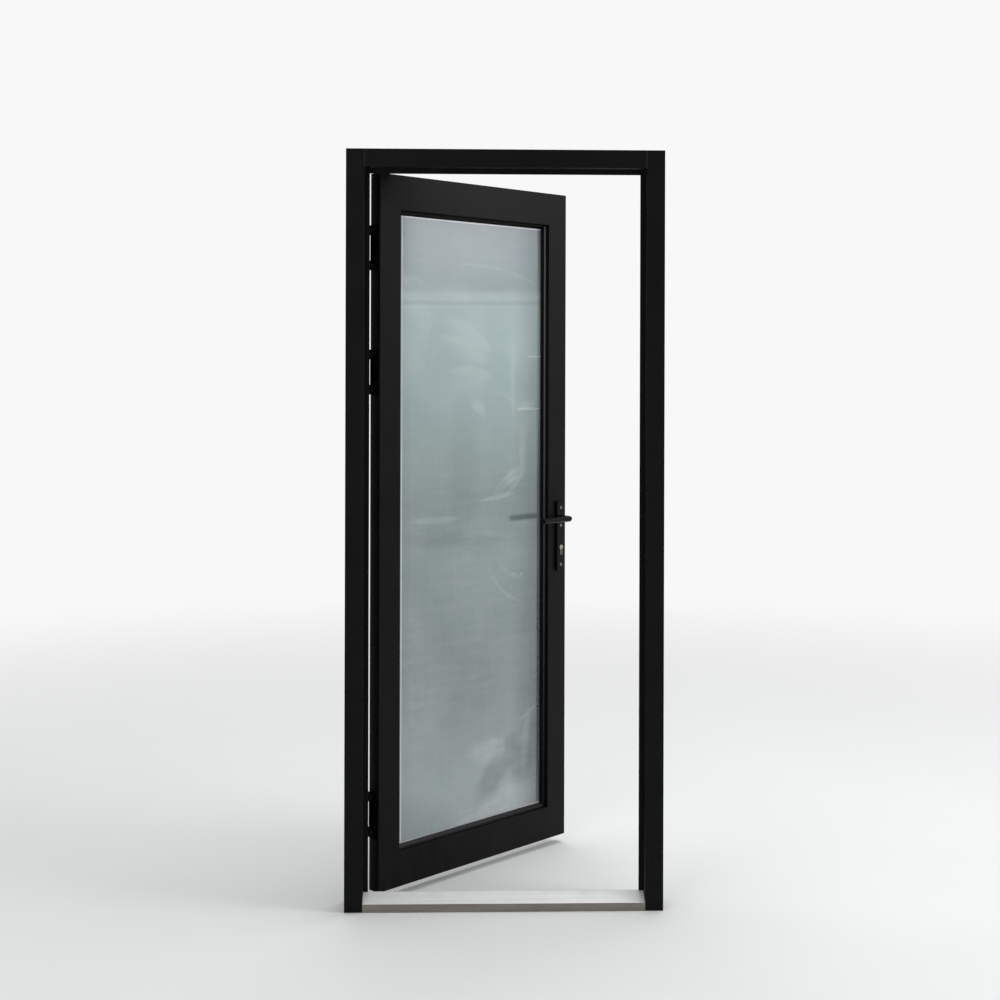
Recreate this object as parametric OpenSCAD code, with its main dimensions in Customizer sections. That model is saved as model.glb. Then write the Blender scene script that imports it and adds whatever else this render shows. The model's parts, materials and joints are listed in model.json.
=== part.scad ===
// Glazed aluminium single door with its own frame, threshold, hinges and mortice lock.
// Frame of reference: origin at the centre of the frame's underside, +X to the lock side,
// +Y to the side the leaf opens to, +Z up.  The leaf is drawn shut and then turned open.

/* [Frame] */
// Overall width of the frame
frame_w = 880; // [780:10:1100]
// Overall height of the frame
frame_h = 2100; // [1750:10:2520]
// Depth of the frame, front to back
frame_d = 100; // [100:5:120]
// Visible width of a jamb or the head
frame_face = 50; // [40:1:60]
// Wall of the frame extrusions
frame_wall = 2; // [1.6:0.2:3]
// Depth from the front face to the stop
reveal_d = 45; // [40:1:50]
// Thickness of the stop
stop_t = 5; // [5:0.5:6]
// Height of the stop above the jamb's inner face
stop_h = 13; // [11:1:16]
// Clear depth between the stop and the shut leaf, filled by the seal
seal_gap = 8; // [7:0.5:9]

/* [Threshold] */
// Height of the threshold at its front face
sill_front_h = 22; // [16:1:28]
// Height of the threshold's nose, where the seal sits
sill_nose_h = 41; // [36:1:48]
// Height of the threshold behind the nose
sill_rear_h = 20; // [16:1:22]
// Wall of the threshold extrusion
sill_wall = 2.5; // [2:0.5:3]

/* [Leaf] */
// Opening angle of the leaf as it stands
open_angle = 43.5; // [0:0.5:95]
// Thickness of the leaf
leaf_t = 41; // [39:1:46]
// Gap between the leaf's edges and the jambs
edge_gap = 6; // [6:0.5:7]
// Gap between the leaf and the head
head_gap = 7; // [4:1:10]
// Height of the leaf's underside above the floor
leaf_bottom = 27; // [26:1:32]
// Width of a stile
stile_w = 77; // [72:1:100]
// Height of a rail
rail_w = 98; // [70:1:140]
// Wall of the leaf extrusions
leaf_wall = 2; // [1.6:0.2:3]
// Wall of the leaf extrusions on the glass side
glazing_wall = 3.5; // [3:0.5:5]

/* [Glazing] */
// Thickness of the glass
glass_t = 6; // [4:1:8]
// Thickness of each glazing gasket
gasket_t = 2; // [1.5:0.5:3]
// Depth of the fixed lip behind the glass
lip_t = 8; // [6:1:10]
// Height of the lip and of the beads
bead_w = 12; // [10:1:16]
// Depth of a bead, front to back
bead_t = 9; // [7:1:10]
// Width of a bead's flat front before its slope
bead_flat = 7; // [4:1:8]
// Gap between the glass edge and the extrusions
glass_edge_gap = 3; // [2:0.5:4]
// How far the gaskets show past the beads
gasket_show = 0.6; // [0:0.2:1.5]

/* [Hinges] */
// Height of a hinge
hinge_h = 127; // [100:1:150]
// Height of each end knuckle
end_knuckle_h = 28; // [20:1:34]
// Outer diameter of the knuckles
knuckle_d = 13; // [12:0.5:14]
// Diameter of the hinge pin
pin_d = 7; // [6:0.5:8]
// Thickness of a hinge plate
hinge_t = 2.9; // [2.4:0.1:2.9]
// Depth of a hinge plate along the leaf's edge
hinge_plate_w = 38; // [30:1:38]
// Distance of the pin behind the leaf's outer face
pin_back = 11; // [10:0.5:14]
// Height of the bottom hinge's centre
hinge_low_z = 240; // [180:5:400]
// Distance of the top hinge's centre below the frame's top
hinge_top_drop = 265; // [180:5:400]
// Distance between the centres of the two upper hinges
hinge_pair_pitch = 350; // [250:10:600]

/* [Lock] */
// Height of the lever's axis above the floor
lever_z = 1027; // [950:1:1100]
// Distance from the leaf's edge to the lever's axis
backset = 28; // [26:1:30]
// Distance from the lever's axis down to the cylinder's axis
lock_centres = 92; // [92:1:98]
// Thickness of the lock case
case_t = 15; // [14:0.5:16]
// Depth of the lock case behind the lever's axis
case_back = 18; // [17:1:24]
// Wall of the lock case
case_wall = 1.5; // [1:0.1:2]
// Width of the faceplate
faceplate_w = 22; // [20:1:24]
// Height of the faceplate
faceplate_h = 250; // [246:2:300]
// Thickness of the faceplate
faceplate_t = 2.5; // [2:0.5:3]
// Throw of the latch
latch_throw = 12; // [10:0.5:12]
// Height of the latch head
latch_h = 28; // [24:1:28]
// Throw of the dead bolt
bolt_throw = 20; // [14:1:20]
// Height of the dead bolt
bolt_h = 30; // [24:1:32]
// Thickness of the strike plate
strike_t = 2; // [1.5:0.5:2.5]

/* [Handle] */
// Height of a back plate
plate_h = 218; // [200:2:240]
// Width of a back plate
plate_w = 34; // [30:1:36]
// Thickness of a back plate
plate_t = 9; // [7:1:11]
// Height of the lever's axis above the back plate's centre
plate_offset = 57; // [50:1:60]
// Length of a lever from its axis to its tip
lever_l = 123; // [100:1:140]
// Height of a lever's bar
lever_h = 18; // [16:1:20]
// Distance of the lever's bar axis from the leaf's face
lever_reach = 49; // [42:1:60]
// Side of the square spindle
spindle_w = 8; // [7:1:8]

/* [Fixings] */
// Diameter of the wall-fixing holes through the jambs
anchor_d = 8; // [6:0.5:10]
// Number of wall-fixing holes in each jamb
anchor_count = 4; // [3:1:6]
// Height of the lowest wall-fixing hole
anchor_low_z = 150; // [100:10:250]
// Distance of the highest wall-fixing hole below the frame's top
anchor_top_drop = 150; // [100:10:250]

/* [Hidden] */
$fn = 48;

// Clearances
run_gap = 0.08;      // radial clearance of a running fit
seat_gap = 0.1;      // between a screw and its hole, or a piece and its seat
soft_gap = 0.3;      // between a seal and what it presses on
slide_gap = 0.25;    // around a sliding bolt
cut = 1;             // how far a cutting tool runs past the face it cuts

// Frame planes
front_y = -frame_d / 2;
rear_y = frame_d / 2;
stop_y = front_y + reveal_d;
stop_back_y = stop_y + stop_t;
jamb_x = frame_w / 2 - frame_face;
head_z = frame_h - frame_face;
stop_x = jamb_x - stop_h;
stop_top_z = head_z - stop_h;

// Leaf planes, drawn shut
leaf_x = jamb_x - edge_gap;
leaf_near = stop_back_y + seal_gap;
leaf_far = leaf_near + leaf_t;
leaf_mid = (leaf_near + leaf_far) / 2;
leaf_top = head_z - head_gap;
light_x = leaf_x - stile_w;
light_low = leaf_bottom + rail_w;
light_top = leaf_top - rail_w;
light_h = light_top - light_low;

// Glazing planes
lip_y = leaf_far - lip_t;
glass_far = lip_y - gasket_t;
glass_near = glass_far - glass_t;
bead_back = glass_near - gasket_t;
bead_front = bead_back - bead_t;
clip_w = 3;          // width of a bead's clip foot
clip_d = 1.2;        // depth of a bead's clip foot
clip_y = bead_back - 5;

// Hinge planes
pin_x = -(jamb_x - edge_gap / 2);
pin_y = leaf_far + pin_back;
washer_t = 1.4;
washer_gap = 0.1;
mid_knuckle_h = hinge_h - 2 * end_knuckle_h - 2 * (washer_t + 2 * washer_gap);
hinge_top_z = frame_h - hinge_top_drop;
hinge_zs = [hinge_low_z, hinge_top_z - hinge_pair_pitch, hinge_top_z];
hinge_plate_y = leaf_far - 1;
hinge_screw_d = 5;
hinge_screw_in = 10; // from a plate's rear edge to its first screws
hinge_screw_l = 12;

// Lock planes.  Inside at_lock(), x runs from the leaf's free edge into the leaf,
// y runs from the middle of the leaf's thickness to its outer face, and z is the height.
case_d = backset + case_back;
cylinder_z = lever_z - lock_centres;
case_low = cylinder_z - 42;
case_top = lever_z + 28;
case_in_y = case_t / 2 - case_wall;
bolt_y = case_in_y - 0.7;
bolt_low = cylinder_z + 18;
latch_low = lever_z - latch_h / 2;
plate_mid_z = lever_z - plate_offset;
plate_near_y = -leaf_t / 2;
plate_far_y = leaf_t / 2;
faceplate_mid_z = (case_low + case_top) / 2 + 1;
faceplate_screw_in = 12;   // from an end of the faceplate to its screw
faceplate_screw_zs = [for (s = [-1, 1]) faceplate_mid_z + s * (faceplate_h / 2 - faceplate_screw_in)];
plate_screw_in = 20; // from an end of a back plate to its screw
inner_screw_drop = 23.5;   // from the lever's axis down to the middle screw
handle_screw_zs = [plate_mid_z + plate_h / 2 - plate_screw_in, lever_z - inner_screw_drop,
    plate_mid_z - plate_h / 2 + plate_screw_in];
handle_screw_d = 5;
hub_r = 10;
hub_boss_r = 7.5;
arm_r = 19.5;
arm_angle = 25;      // lean of the follower's arm towards the leaf's edge
arm_lug_x = 4.9;     // how far the latch's lug stands ahead of the follower's axis
arm_lug_z = 15.5;    // how far the lug's foot stands above the follower's axis
cam_r = case_back - case_wall - 1.5;
cam_t = 9.6;
cylinder_r = 8.5;
cylinder_w = 10;
cylinder_drop = 24.5;
cylinder_half = leaf_t / 2 + plate_t + 1.5;
plug_r = 6.5;
cylinder_screw_drop = 20;
neck_r = 9;
spindle_half = leaf_t / 2 + lever_reach - 14;

black = [0.07, 0.07, 0.075];
rubber = [0.04, 0.045, 0.045];
silver = [0.74, 0.73, 0.70];
steel = [0.62, 0.62, 0.63];
brass = [0.62, 0.50, 0.30];
frosted = [0.66, 0.70, 0.69, 0.75];

// ---------- helpers ----------

// Turns what is drawn shut to the leaf's open position
module in_leaf() {
    translate([pin_x, pin_y, 0]) rotate([0, 0, open_angle]) translate([-pin_x, -pin_y, 0])
        children();
}

// Lock coordinates in the shut leaf
module at_lock() {
    translate([leaf_x, leaf_mid, 0]) mirror([1, 0, 0]) children();
}

// A box from its lowest to its highest corner
module span(low, high) {
    translate(low) cube(high - low);
}

// A round bar along Y from y0 to y1
module bar_y(x, z, r, y0, y1, fn = 48) {
    translate([x, y0, z]) rotate([-90, 0, 0]) cylinder(r = r, h = y1 - y0, $fn = fn);
}

// A round bar along X from x0 to x1
module bar_x(y, z, r, x0, x1, fn = 48) {
    translate([x0, y, z]) rotate([0, 90, 0]) cylinder(r = r, h = x1 - x0, $fn = fn);
}

// A countersunk screw along +Y, head face at y = 0
module countersunk_screw(d, l) {
    head_r = d * 0.95;
    head_h = head_r - d / 2;
    rotate([-90, 0, 0]) difference() {
        union() {
            cylinder(r1 = head_r, r2 = d / 2, h = head_h);
            cylinder(d = d, h = l);
        }
        for (a = [0, 90]) rotate([0, 0, a])
            translate([-d * 0.55, -d * 0.09, -cut]) cube([d * 1.1, d * 0.18, cut + d * 0.3]);
    }
}

// The hole that a countersunk screw sits in, along +Y from y = 0
module countersunk_hole(d, l) {
    head_r = d * 0.95;
    head_h = head_r - d / 2;
    rotate([-90, 0, 0]) {
        translate([0, 0, -cut]) cylinder(r = head_r + seat_gap, h = cut);
        cylinder(r1 = head_r + seat_gap, r2 = d / 2 + seat_gap, h = head_h);
        cylinder(r = d / 2 + seat_gap, h = l);
    }
}

// ---------- frame extrusions ----------

// Section of a jamb or the head: x from the outer face inwards, y through the frame's depth
module frame_section() {
    groove_x = frame_face + stop_h / 2;
    difference() {
        union() {
            translate([0, front_y]) square([frame_face, frame_d]);
            translate([frame_face - 1, stop_y]) square([stop_h + 1, stop_t]);
        }
        translate([frame_wall, front_y + frame_wall])
            square([frame_face - 2 * frame_wall, reveal_d - frame_wall]);
        translate([frame_wall, stop_y + frame_wall])
            square([frame_face - 2 * frame_wall, rear_y - stop_y - 2 * frame_wall]);
        translate([groove_x - 1.5, stop_back_y - 2]) square([3, 2 + cut]);
    }
}

// A jamb on the +X side, before its holes
module jamb_blank() {
    difference() {
        translate([frame_w / 2, 0, 0]) mirror([1, 0, 0])
            linear_extrude(height = frame_h) frame_section();
        // the stop is cut away where the head and the threshold meet the jamb
        span([stop_x - cut, stop_y - cut, -cut], [jamb_x, stop_back_y + cut, sill_nose_h]);
        span([stop_x - cut, stop_y - cut, stop_top_z], [jamb_x, stop_back_y + cut, frame_h + cut]);
        for (z = anchor_zs()) bar_x(anchor_y(), z, anchor_d / 2, jamb_x - cut, frame_w / 2 + cut);
        for (p = corner_screws()) {
            bar_x(p[0], p[1], 2.75, jamb_x - cut, jamb_x + frame_wall + cut);
            bar_x(p[0], p[1], 5.2, frame_w / 2 - frame_wall - cut, frame_w / 2 + cut);
        }
    }
}

function anchor_zs() = [for (i = [0 : anchor_count - 1])
    anchor_low_z + i * (frame_h - anchor_top_drop - anchor_low_z) / (anchor_count - 1)];
function anchor_y() = stop_y - 22;

// Screw ports in the head and the threshold, as [y, z]
port_r = 4;
port_hole_r = 2.1;
port_in = 9;         // from the outer face to a port's axis
port_web = 3;
port_ys = [stop_y - 22, stop_back_y + 24];
function corner_screws() = [for (y = port_ys) for (z = [port_in, frame_h - port_in]) [y, z]];

module ports() {
    for (y = port_ys) {
        translate([port_in, y]) circle(r = port_r);
        translate([frame_wall / 2, y - port_web / 2]) square([port_in - frame_wall / 2, port_web]);
    }
}

module port_holes() {
    for (y = port_ys) translate([port_in, y]) circle(r = port_hole_r);
}

module jamb_hinge_side() {
    color(black) difference() {
        mirror([1, 0, 0]) jamb_blank();
        for (z = hinge_zs) for (p = hinge_screw_places())
            bar_x(p[0], z + p[1], hinge_screw_d / 2 + seat_gap, -jamb_x - hinge_screw_l - cut, -jamb_x + cut);
    }
}

module jamb_lock_side() {
    color(black) difference() {
        jamb_blank();
        at_lock_pockets(0.6, frame_wall + cut);
        for (z = strike_screw_zs())
            bar_x(leaf_mid, z, 2.1 + seat_gap, jamb_x - cut, jamb_x + frame_wall + cut);
    }
}

// Pockets for the latch and the dead bolt, from the jamb's inner face outwards
module at_lock_pockets(extra, depth) {
    half = bolt_y + 1 + extra;
    span([jamb_x - strike_t - cut, leaf_mid - half, latch_low - 1.5 - extra],
         [jamb_x + depth, leaf_mid + half, latch_low + latch_h + 1.5 + extra]);
    span([jamb_x - strike_t - cut, leaf_mid - half, bolt_low - 1.5 - extra],
         [jamb_x + depth, leaf_mid + half, bolt_low + bolt_h + 1.5 + extra]);
}

strike_margin = 26;  // from a bolt's pocket to the strike plate's end
strike_screw_in = 10;
strike_low = bolt_low - strike_margin;
strike_high = latch_low + latch_h + strike_margin;
function strike_screw_zs() = [strike_low + strike_screw_in, strike_high - strike_screw_in];

module head() {
    color(black) translate([-jamb_x, 0, frame_h]) rotate([0, 90, 0])
        linear_extrude(height = 2 * jamb_x) difference() {
            union() {
                frame_section();
                ports();
            }
            port_holes();
        }
}

module threshold() {
    slope = (sill_nose_h - sill_front_h) / reveal_d;
    drop = sill_wall * sqrt(1 + slope * slope);
    color(silver) difference() {
        translate([-jamb_x, 0, 0]) rotate([90, 0, 90]) linear_extrude(height = 2 * jamb_x) difference() {
            union() {
                difference() {
                    polygon([[front_y, 0], [rear_y, 0], [rear_y, sill_rear_h], [stop_back_y, sill_rear_h],
                        [stop_back_y, sill_nose_h], [stop_y, sill_nose_h], [front_y, sill_front_h]]);
                    polygon([[front_y + sill_wall, sill_wall], [stop_y, sill_wall],
                        [stop_y, sill_nose_h - drop],
                        [front_y + sill_wall, sill_front_h + sill_wall * slope - drop]]);
                    translate([stop_back_y, sill_wall])
                        square([rear_y - stop_back_y - sill_wall, sill_rear_h - 2 * sill_wall]);
                }
                mirror([1, -1]) ports();
            }
            mirror([1, -1]) port_holes();
            translate([stop_back_y - 2, sill_nose_h - 8]) square([2 + cut, 3]);
        }
    }
}

// Section of a frame seal: x across the stop, y away from it
module seal_section() {
    depth = seal_gap - soft_gap;
    bulb_r = (depth - 0.9) / 2;
    difference() {
        union() {
            translate([-1.4, -1.9]) square([2.8, 2.4]);
            translate([-4.4, 0]) square([8.8, 1.8]);
            translate([0, depth - bulb_r]) circle(r = bulb_r);
            translate([-1.5, 0]) square([3, 3]);
        }
        translate([0, depth - bulb_r]) circle(r = bulb_r - 1.4);
    }
}

// A jamb's seal, on the +X side
module jamb_seal() {
    translate([jamb_x - stop_h / 2, stop_back_y, sill_nose_h]) mirror([1, 0, 0])
        linear_extrude(height = stop_top_z - sill_nose_h) seal_section();
}

module seal_hinge_jamb() {
    color(rubber) mirror([1, 0, 0]) jamb_seal();
}

module seal_lock_jamb() {
    color(rubber) jamb_seal();
}

module seal_head() {
    color(rubber) translate([-stop_x, stop_back_y, head_z - stop_h / 2])
        rotate([0, 90, 0]) linear_extrude(height = 2 * stop_x) seal_section();
}

module seal_threshold() {
    color(rubber) translate([-jamb_x + soft_gap, stop_back_y, sill_nose_h - 6.5])
        rotate([0, 90, 0]) linear_extrude(height = 2 * (jamb_x - soft_gap)) seal_section();
}

// Pan-head screws that hold the head and the threshold between the jambs
module frame_screws() {
    color(steel) for (s = [0, 1]) mirror([s, 0, 0]) for (p = corner_screws()) {
        bar_x(p[0], p[1], 2, jamb_x - 22, jamb_x + frame_wall + 1);
        bar_x(p[0], p[1], 4.6, jamb_x + frame_wall, jamb_x + frame_wall + 3);
    }
}

module strike_plate() {
    half = 12;
    color(steel) difference() {
        span([jamb_x - strike_t, leaf_mid - half, strike_low], [jamb_x, leaf_mid + half, strike_high]);
        at_lock_pockets(0, cut);
        for (z = strike_screw_zs()) translate([jamb_x - strike_t, leaf_mid, z]) rotate([0, 0, -90])
            countersunk_hole(4.2, strike_t + cut);
    }
}

module strike_screws() {
    color(steel) for (z = strike_screw_zs())
        translate([jamb_x - strike_t, leaf_mid, z]) rotate([0, 0, -90]) countersunk_screw(4.2, 14);
}

// ---------- hinges ----------

// Screw places in a hinge plate, as [y, height from the hinge's centre]
function hinge_screw_places() = [for (s = [-1, 1]) for (k = [0, 1])
    [hinge_plate_y - hinge_screw_in - k * (hinge_plate_w - 2.2 * hinge_screw_in),
        s * (hinge_h / 2 - 14 - k * 18)]];

// One plate with its knuckles, on the frame's side of the gap; parts are [low, high] heights
module hinge_half(knuckles) {
    plate_x = -jamb_x;
    difference() {
        union() {
            span([plate_x, hinge_plate_y - hinge_plate_w, -hinge_h / 2],
                 [plate_x + hinge_t, hinge_plate_y, hinge_h / 2]);
            for (k = knuckles) {
                span([plate_x, hinge_plate_y - 1, k[0]], [plate_x + hinge_t, pin_y, k[1]]);
                translate([pin_x, pin_y, k[0]]) cylinder(d = knuckle_d, h = k[1] - k[0]);
            }
        }
        translate([pin_x, pin_y, -hinge_h]) cylinder(r = pin_d / 2 + run_gap, h = 2 * hinge_h);
        for (p = hinge_screw_places()) translate([plate_x + hinge_t, p[0], p[1]]) rotate([0, 0, 90])
            countersunk_hole(hinge_screw_d, hinge_t + cut);
    }
}

end_knuckles = [[-hinge_h / 2, -hinge_h / 2 + end_knuckle_h], [hinge_h / 2 - end_knuckle_h, hinge_h / 2]];
mid_knuckle = [[-mid_knuckle_h / 2, mid_knuckle_h / 2]];

module hinge_frame_plate(i) {
    color(black) translate([0, 0, hinge_zs[i]]) hinge_half(mid_knuckle);
}

// The leaf's plate is the same plate turned over across the gap
module hinge_leaf_plate(i) {
    color(black) in_leaf() translate([0, 0, hinge_zs[i]])
        translate([pin_x, 0, 0]) mirror([1, 0, 0]) translate([-pin_x, 0, 0]) hinge_half(end_knuckles);
}

// The pin, fixed in the frame's knuckle, with a cap at each end
module hinge_pin(i) {
    cap_h = 2.5;
    color(black) translate([pin_x, pin_y, hinge_zs[i] - hinge_h / 2]) {
        translate([0, 0, -0.3]) cylinder(d = pin_d, h = hinge_h + 0.6);
        translate([0, 0, hinge_h + 0.3]) cylinder(r1 = knuckle_d / 2, r2 = knuckle_d / 2 - 1, h = cap_h);
        translate([0, 0, -0.3 - cap_h]) cylinder(r1 = knuckle_d / 2 - 1, r2 = knuckle_d / 2, h = cap_h);
    }
}

module hinge_washers() {
    color([0.12, 0.12, 0.12]) for (z = hinge_zs) for (s = [0, 1])
        translate([pin_x, pin_y, z]) mirror([0, 0, s])
            translate([0, 0, mid_knuckle_h / 2 + washer_gap]) difference() {
                cylinder(d = knuckle_d, h = washer_t);
                translate([0, 0, -cut]) cylinder(r = pin_d / 2 + run_gap, h = washer_t + 2 * cut);
            }
}

module hinge_screw_set() {
    for (z = hinge_zs) for (p = hinge_screw_places())
        translate([-jamb_x + hinge_t, p[0], z + p[1]]) rotate([0, 0, 90])
            countersunk_screw(hinge_screw_d, hinge_screw_l);
}

module hinge_frame_screws() {
    color(steel) hinge_screw_set();
}

module hinge_leaf_screws() {
    color(steel) in_leaf() translate([pin_x, 0, 0]) mirror([1, 0, 0]) translate([-pin_x, 0, 0])
        hinge_screw_set();
}

// ---------- leaf extrusions ----------

// Section of a stile or rail: x from the leaf's edge to the glass, y through the thickness
module leaf_section(w) {
    difference() {
        union() {
            translate([0, leaf_near]) square([w, leaf_t]);
            translate([w - 1, lip_y]) square([bead_w + 1, lip_t]);
        }
        translate([leaf_wall, leaf_near + leaf_wall])
            square([w - leaf_wall - glazing_wall, leaf_t - 2 * leaf_wall]);
        translate([w - clip_d - 0.1, clip_y - seat_gap]) square([clip_d + 0.1 + cut, clip_w + 2 * seat_gap]);
    }
}

// A stile on the +X side, drawn shut; its lip stops where the rails' lips begin
module stile_blank() {
    difference() {
        translate([leaf_x, 0, leaf_bottom]) mirror([1, 0, 0])
            linear_extrude(height = leaf_top - leaf_bottom) leaf_section(stile_w);
        span([light_x - bead_w - cut, leaf_near - cut, leaf_bottom - cut],
             [light_x, leaf_far + cut, light_low + bead_w]);
        span([light_x - bead_w - cut, leaf_near - cut, light_top - bead_w],
             [light_x, leaf_far + cut, leaf_top + cut]);
        for (p = cleat_places()) bar_x(leaf_mid, p, 2.6 + seat_gap, light_x - cut, light_x + glazing_wall + cut);
    }
}

// Heights of the screws that hold the cleats in the rails
function cleat_places() = [for (z = [leaf_bottom + rail_w / 2, leaf_top - rail_w / 2]) for (s = [-1, 1])
    z + s * rail_w / 4];

module stile_hinge_side() {
    color(black) in_leaf() difference() {
        mirror([1, 0, 0]) stile_blank();
        for (z = hinge_zs) for (p = hinge_screw_places())
            bar_x(p[0], z + p[1], hinge_screw_d / 2 + seat_gap, -leaf_x - cut, -leaf_x + hinge_screw_l + cut);
    }
}

module stile_lock_side() {
    color(black) in_leaf() difference() {
        stile_blank();
        at_lock() {
            // slot for the lock case in the leaf's edge
            span([-cut, -case_t / 2 - seat_gap, case_low - seat_gap],
                 [leaf_wall + cut, case_t / 2 + seat_gap, case_top + seat_gap]);
            for (z = faceplate_screw_zs) bar_x(0, z, 2.1 + seat_gap, -cut, leaf_wall + cut);
            stile_holes();
        }
    }
}

// Holes through both faces of the lock stile
module stile_holes() {
    y0 = -leaf_t / 2 - cut;
    y1 = leaf_t / 2 + cut;
    bar_y(backset, lever_z, hub_boss_r + 3, y0, y1);
    for (z = handle_screw_zs) bar_y(backset, z, handle_screw_d / 2 + 1.6, y0, y1);
    translate([0, y0, 0]) cylinder_profile(0.4, y1 - y0);
}

module rail_blank() {
    translate([-light_x, 0, 0]) rotate([0, 90, 0]) linear_extrude(height = 2 * light_x)
        leaf_section(rail_w);
}

module rail_top() {
    color(black) in_leaf() translate([0, 0, leaf_top]) rail_blank();
}

module rail_bottom() {
    color(black) in_leaf() translate([0, 0, leaf_bottom]) mirror([0, 0, 1]) rail_blank();
}

// Solid cleats inside the rail ends, screwed to the stiles
module corner_cleats() {
    cleat_l = 34;
    inner = rail_w - leaf_wall - glazing_wall;
    color(steel) in_leaf() for (s = [0, 1]) mirror([s, 0, 0])
        for (low = [leaf_bottom + leaf_wall, leaf_top - leaf_wall - inner])
            difference() {
                span([light_x - cleat_l, leaf_near + leaf_wall + seat_gap, low + seat_gap],
                     [light_x, leaf_far - leaf_wall - seat_gap, low + inner - seat_gap]);
                for (z = cleat_places()) bar_x(leaf_mid, z, 2.5 + seat_gap, light_x - 25, light_x + cut);
            }
}

module cleat_screws() {
    color(steel) in_leaf() for (s = [0, 1]) mirror([s, 0, 0]) for (z = cleat_places()) {
        bar_x(leaf_mid, z, 2.5, light_x - 22, light_x + glazing_wall + 1);
        bar_x(leaf_mid, z, 4.6, light_x + glazing_wall, light_x + glazing_wall + 3);
    }
}

// ---------- glazing ----------

module glass_pane() {
    g = glass_edge_gap;
    color(frosted) in_leaf()
        span([-light_x + g, glass_near, light_low + g], [light_x - g, glass_far, light_top - g]);
}

// Packers between the glass edge and the extrusions
module setting_blocks() {
    block_l = 90;
    color([0.1, 0.1, 0.1]) in_leaf() {
        for (x = [-light_x + 110, light_x - 110 - block_l])
            span([x, glass_near, light_low], [x + block_l, glass_far, light_low + glass_edge_gap]);
        for (s = [0, 1]) mirror([s, 0, 0]) for (z = [light_low + 110, light_top - 110 - block_l])
            span([light_x - glass_edge_gap, glass_near, z], [light_x, glass_far, z + block_l]);
    }
}

// A flat gasket ring against the glass, from y0 to y1
module gasket_ring(y0, y1) {
    outer = glass_edge_gap;
    inner = bead_w + gasket_show;
    in_leaf() difference() {
        span([-light_x + outer, y0, light_low + outer], [light_x - outer, y1, light_top - outer]);
        span([-light_x + inner, y0 - cut, light_low + inner], [light_x - inner, y1 + cut, light_top - inner]);
    }
}

module gasket_near() {
    color(rubber) gasket_ring(bead_back, glass_near);
}

module gasket_far() {
    color(rubber) gasket_ring(glass_far, lip_y);
}

// Section of a bead: x from the extrusion towards the glass, y through the thickness
module bead_section() {
    difference() {
        polygon([[0, bead_front], [bead_flat, bead_front], [bead_w, bead_back - 1.5], [bead_w, bead_back],
            [0, bead_back], [0, clip_y + clip_w], [-clip_d, clip_y + clip_w], [-clip_d, clip_y], [0, clip_y]]);
        translate([2, bead_front + 1.5]) square([bead_flat - 2.5, bead_t - 3]);
    }
}

// A bead of length l along +Z from z = 0, with both ends mitred
module mitred_bead(l) {
    difference() {
        linear_extrude(height = l) bead_section();
        rotate([0, -45, 0]) translate([-10, bead_front - cut, -40]) cube([60, bead_t + 2 * cut, 40]);
        translate([0, 0, l]) rotate([0, 45, 0])
            translate([-10, bead_front - cut, 0]) cube([60, bead_t + 2 * cut, 40]);
    }
}

module bead_lock_side() {
    color(black) in_leaf() translate([light_x, 0, light_low]) mirror([1, 0, 0]) mitred_bead(light_h);
}

module bead_hinge_side() {
    color(black) in_leaf() translate([-light_x, 0, light_low]) mitred_bead(light_h);
}

module bead_bottom() {
    color(black) in_leaf() translate([-light_x, 0, light_low]) rotate([0, 90, 0]) mirror([1, 0, 0])
        mitred_bead(2 * light_x);
}

module bead_top() {
    color(black) in_leaf() translate([-light_x, 0, light_top]) rotate([0, 90, 0])
        mitred_bead(2 * light_x);
}

// ---------- lock ----------

// Outline of the cylinder, grown by g, as a bar along +Y of length l
module cylinder_profile(g, l) {
    translate([backset, 0, cylinder_z]) rotate([-90, 0, 0]) linear_extrude(height = l) {
        circle(r = cylinder_r + g);
        translate([-cylinder_w / 2 - g, 0]) square([cylinder_w + 2 * g, cylinder_drop - cylinder_w / 2]);
        translate([0, cylinder_drop - cylinder_w / 2]) circle(r = cylinder_w / 2 + g);
    }
}

// Openings for the two bolts in a front plate
module bolt_slots(x0, x1) {
    g = slide_gap;
    for (b = [[latch_low, latch_h], [bolt_low, bolt_h]])
        span([x0, -bolt_y - g, b[0] - g], [x1, bolt_y + g, b[0] + b[1] + g]);
}

module lock_case() {
    w = case_wall;
    color(steel) in_leaf() at_lock() difference() {
        span([0, -case_t / 2 + w, case_low], [case_d, case_t / 2, case_top]);
        span([w, -case_t / 2, case_low + w], [case_d - w, case_in_y, case_top - w]);
        bolt_slots(-cut, w + cut);
        case_side_holes(case_in_y - cut, case_t / 2 + cut);
        bar_x(0, cylinder_z - cylinder_screw_drop, 2.9, -cut, w + cut);
    }
}

module lock_cover() {
    color(steel) in_leaf() at_lock() difference() {
        span([0, -case_t / 2, case_low], [case_d, -case_t / 2 + case_wall, case_top]);
        case_side_holes(-case_t / 2 - cut, -case_in_y + cut);
    }
}

// Holes through a side of the lock case
module case_side_holes(y0, y1) {
    bar_y(backset, lever_z, hub_boss_r + run_gap, y0, y1);
    bar_y(backset, handle_screw_zs[1], handle_screw_d / 2 + 0.6, y0, y1);
    translate([0, y0, 0]) cylinder_profile(0.3, y1 - y0);
}

module lock_faceplate() {
    color(steel) in_leaf() at_lock() difference() {
        span([-faceplate_t, -faceplate_w / 2, faceplate_mid_z - faceplate_h / 2],
             [0, faceplate_w / 2, faceplate_mid_z + faceplate_h / 2]);
        bolt_slots(-faceplate_t - cut, cut);
        for (z = faceplate_screw_zs) translate([-faceplate_t, 0, z]) rotate([0, 0, -90])
            countersunk_hole(4.2, faceplate_t + cut);
        translate([-faceplate_t, 0, cylinder_z - cylinder_screw_drop]) rotate([0, 0, -90])
            countersunk_hole(4.2, faceplate_t + cut);
    }
}

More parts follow.
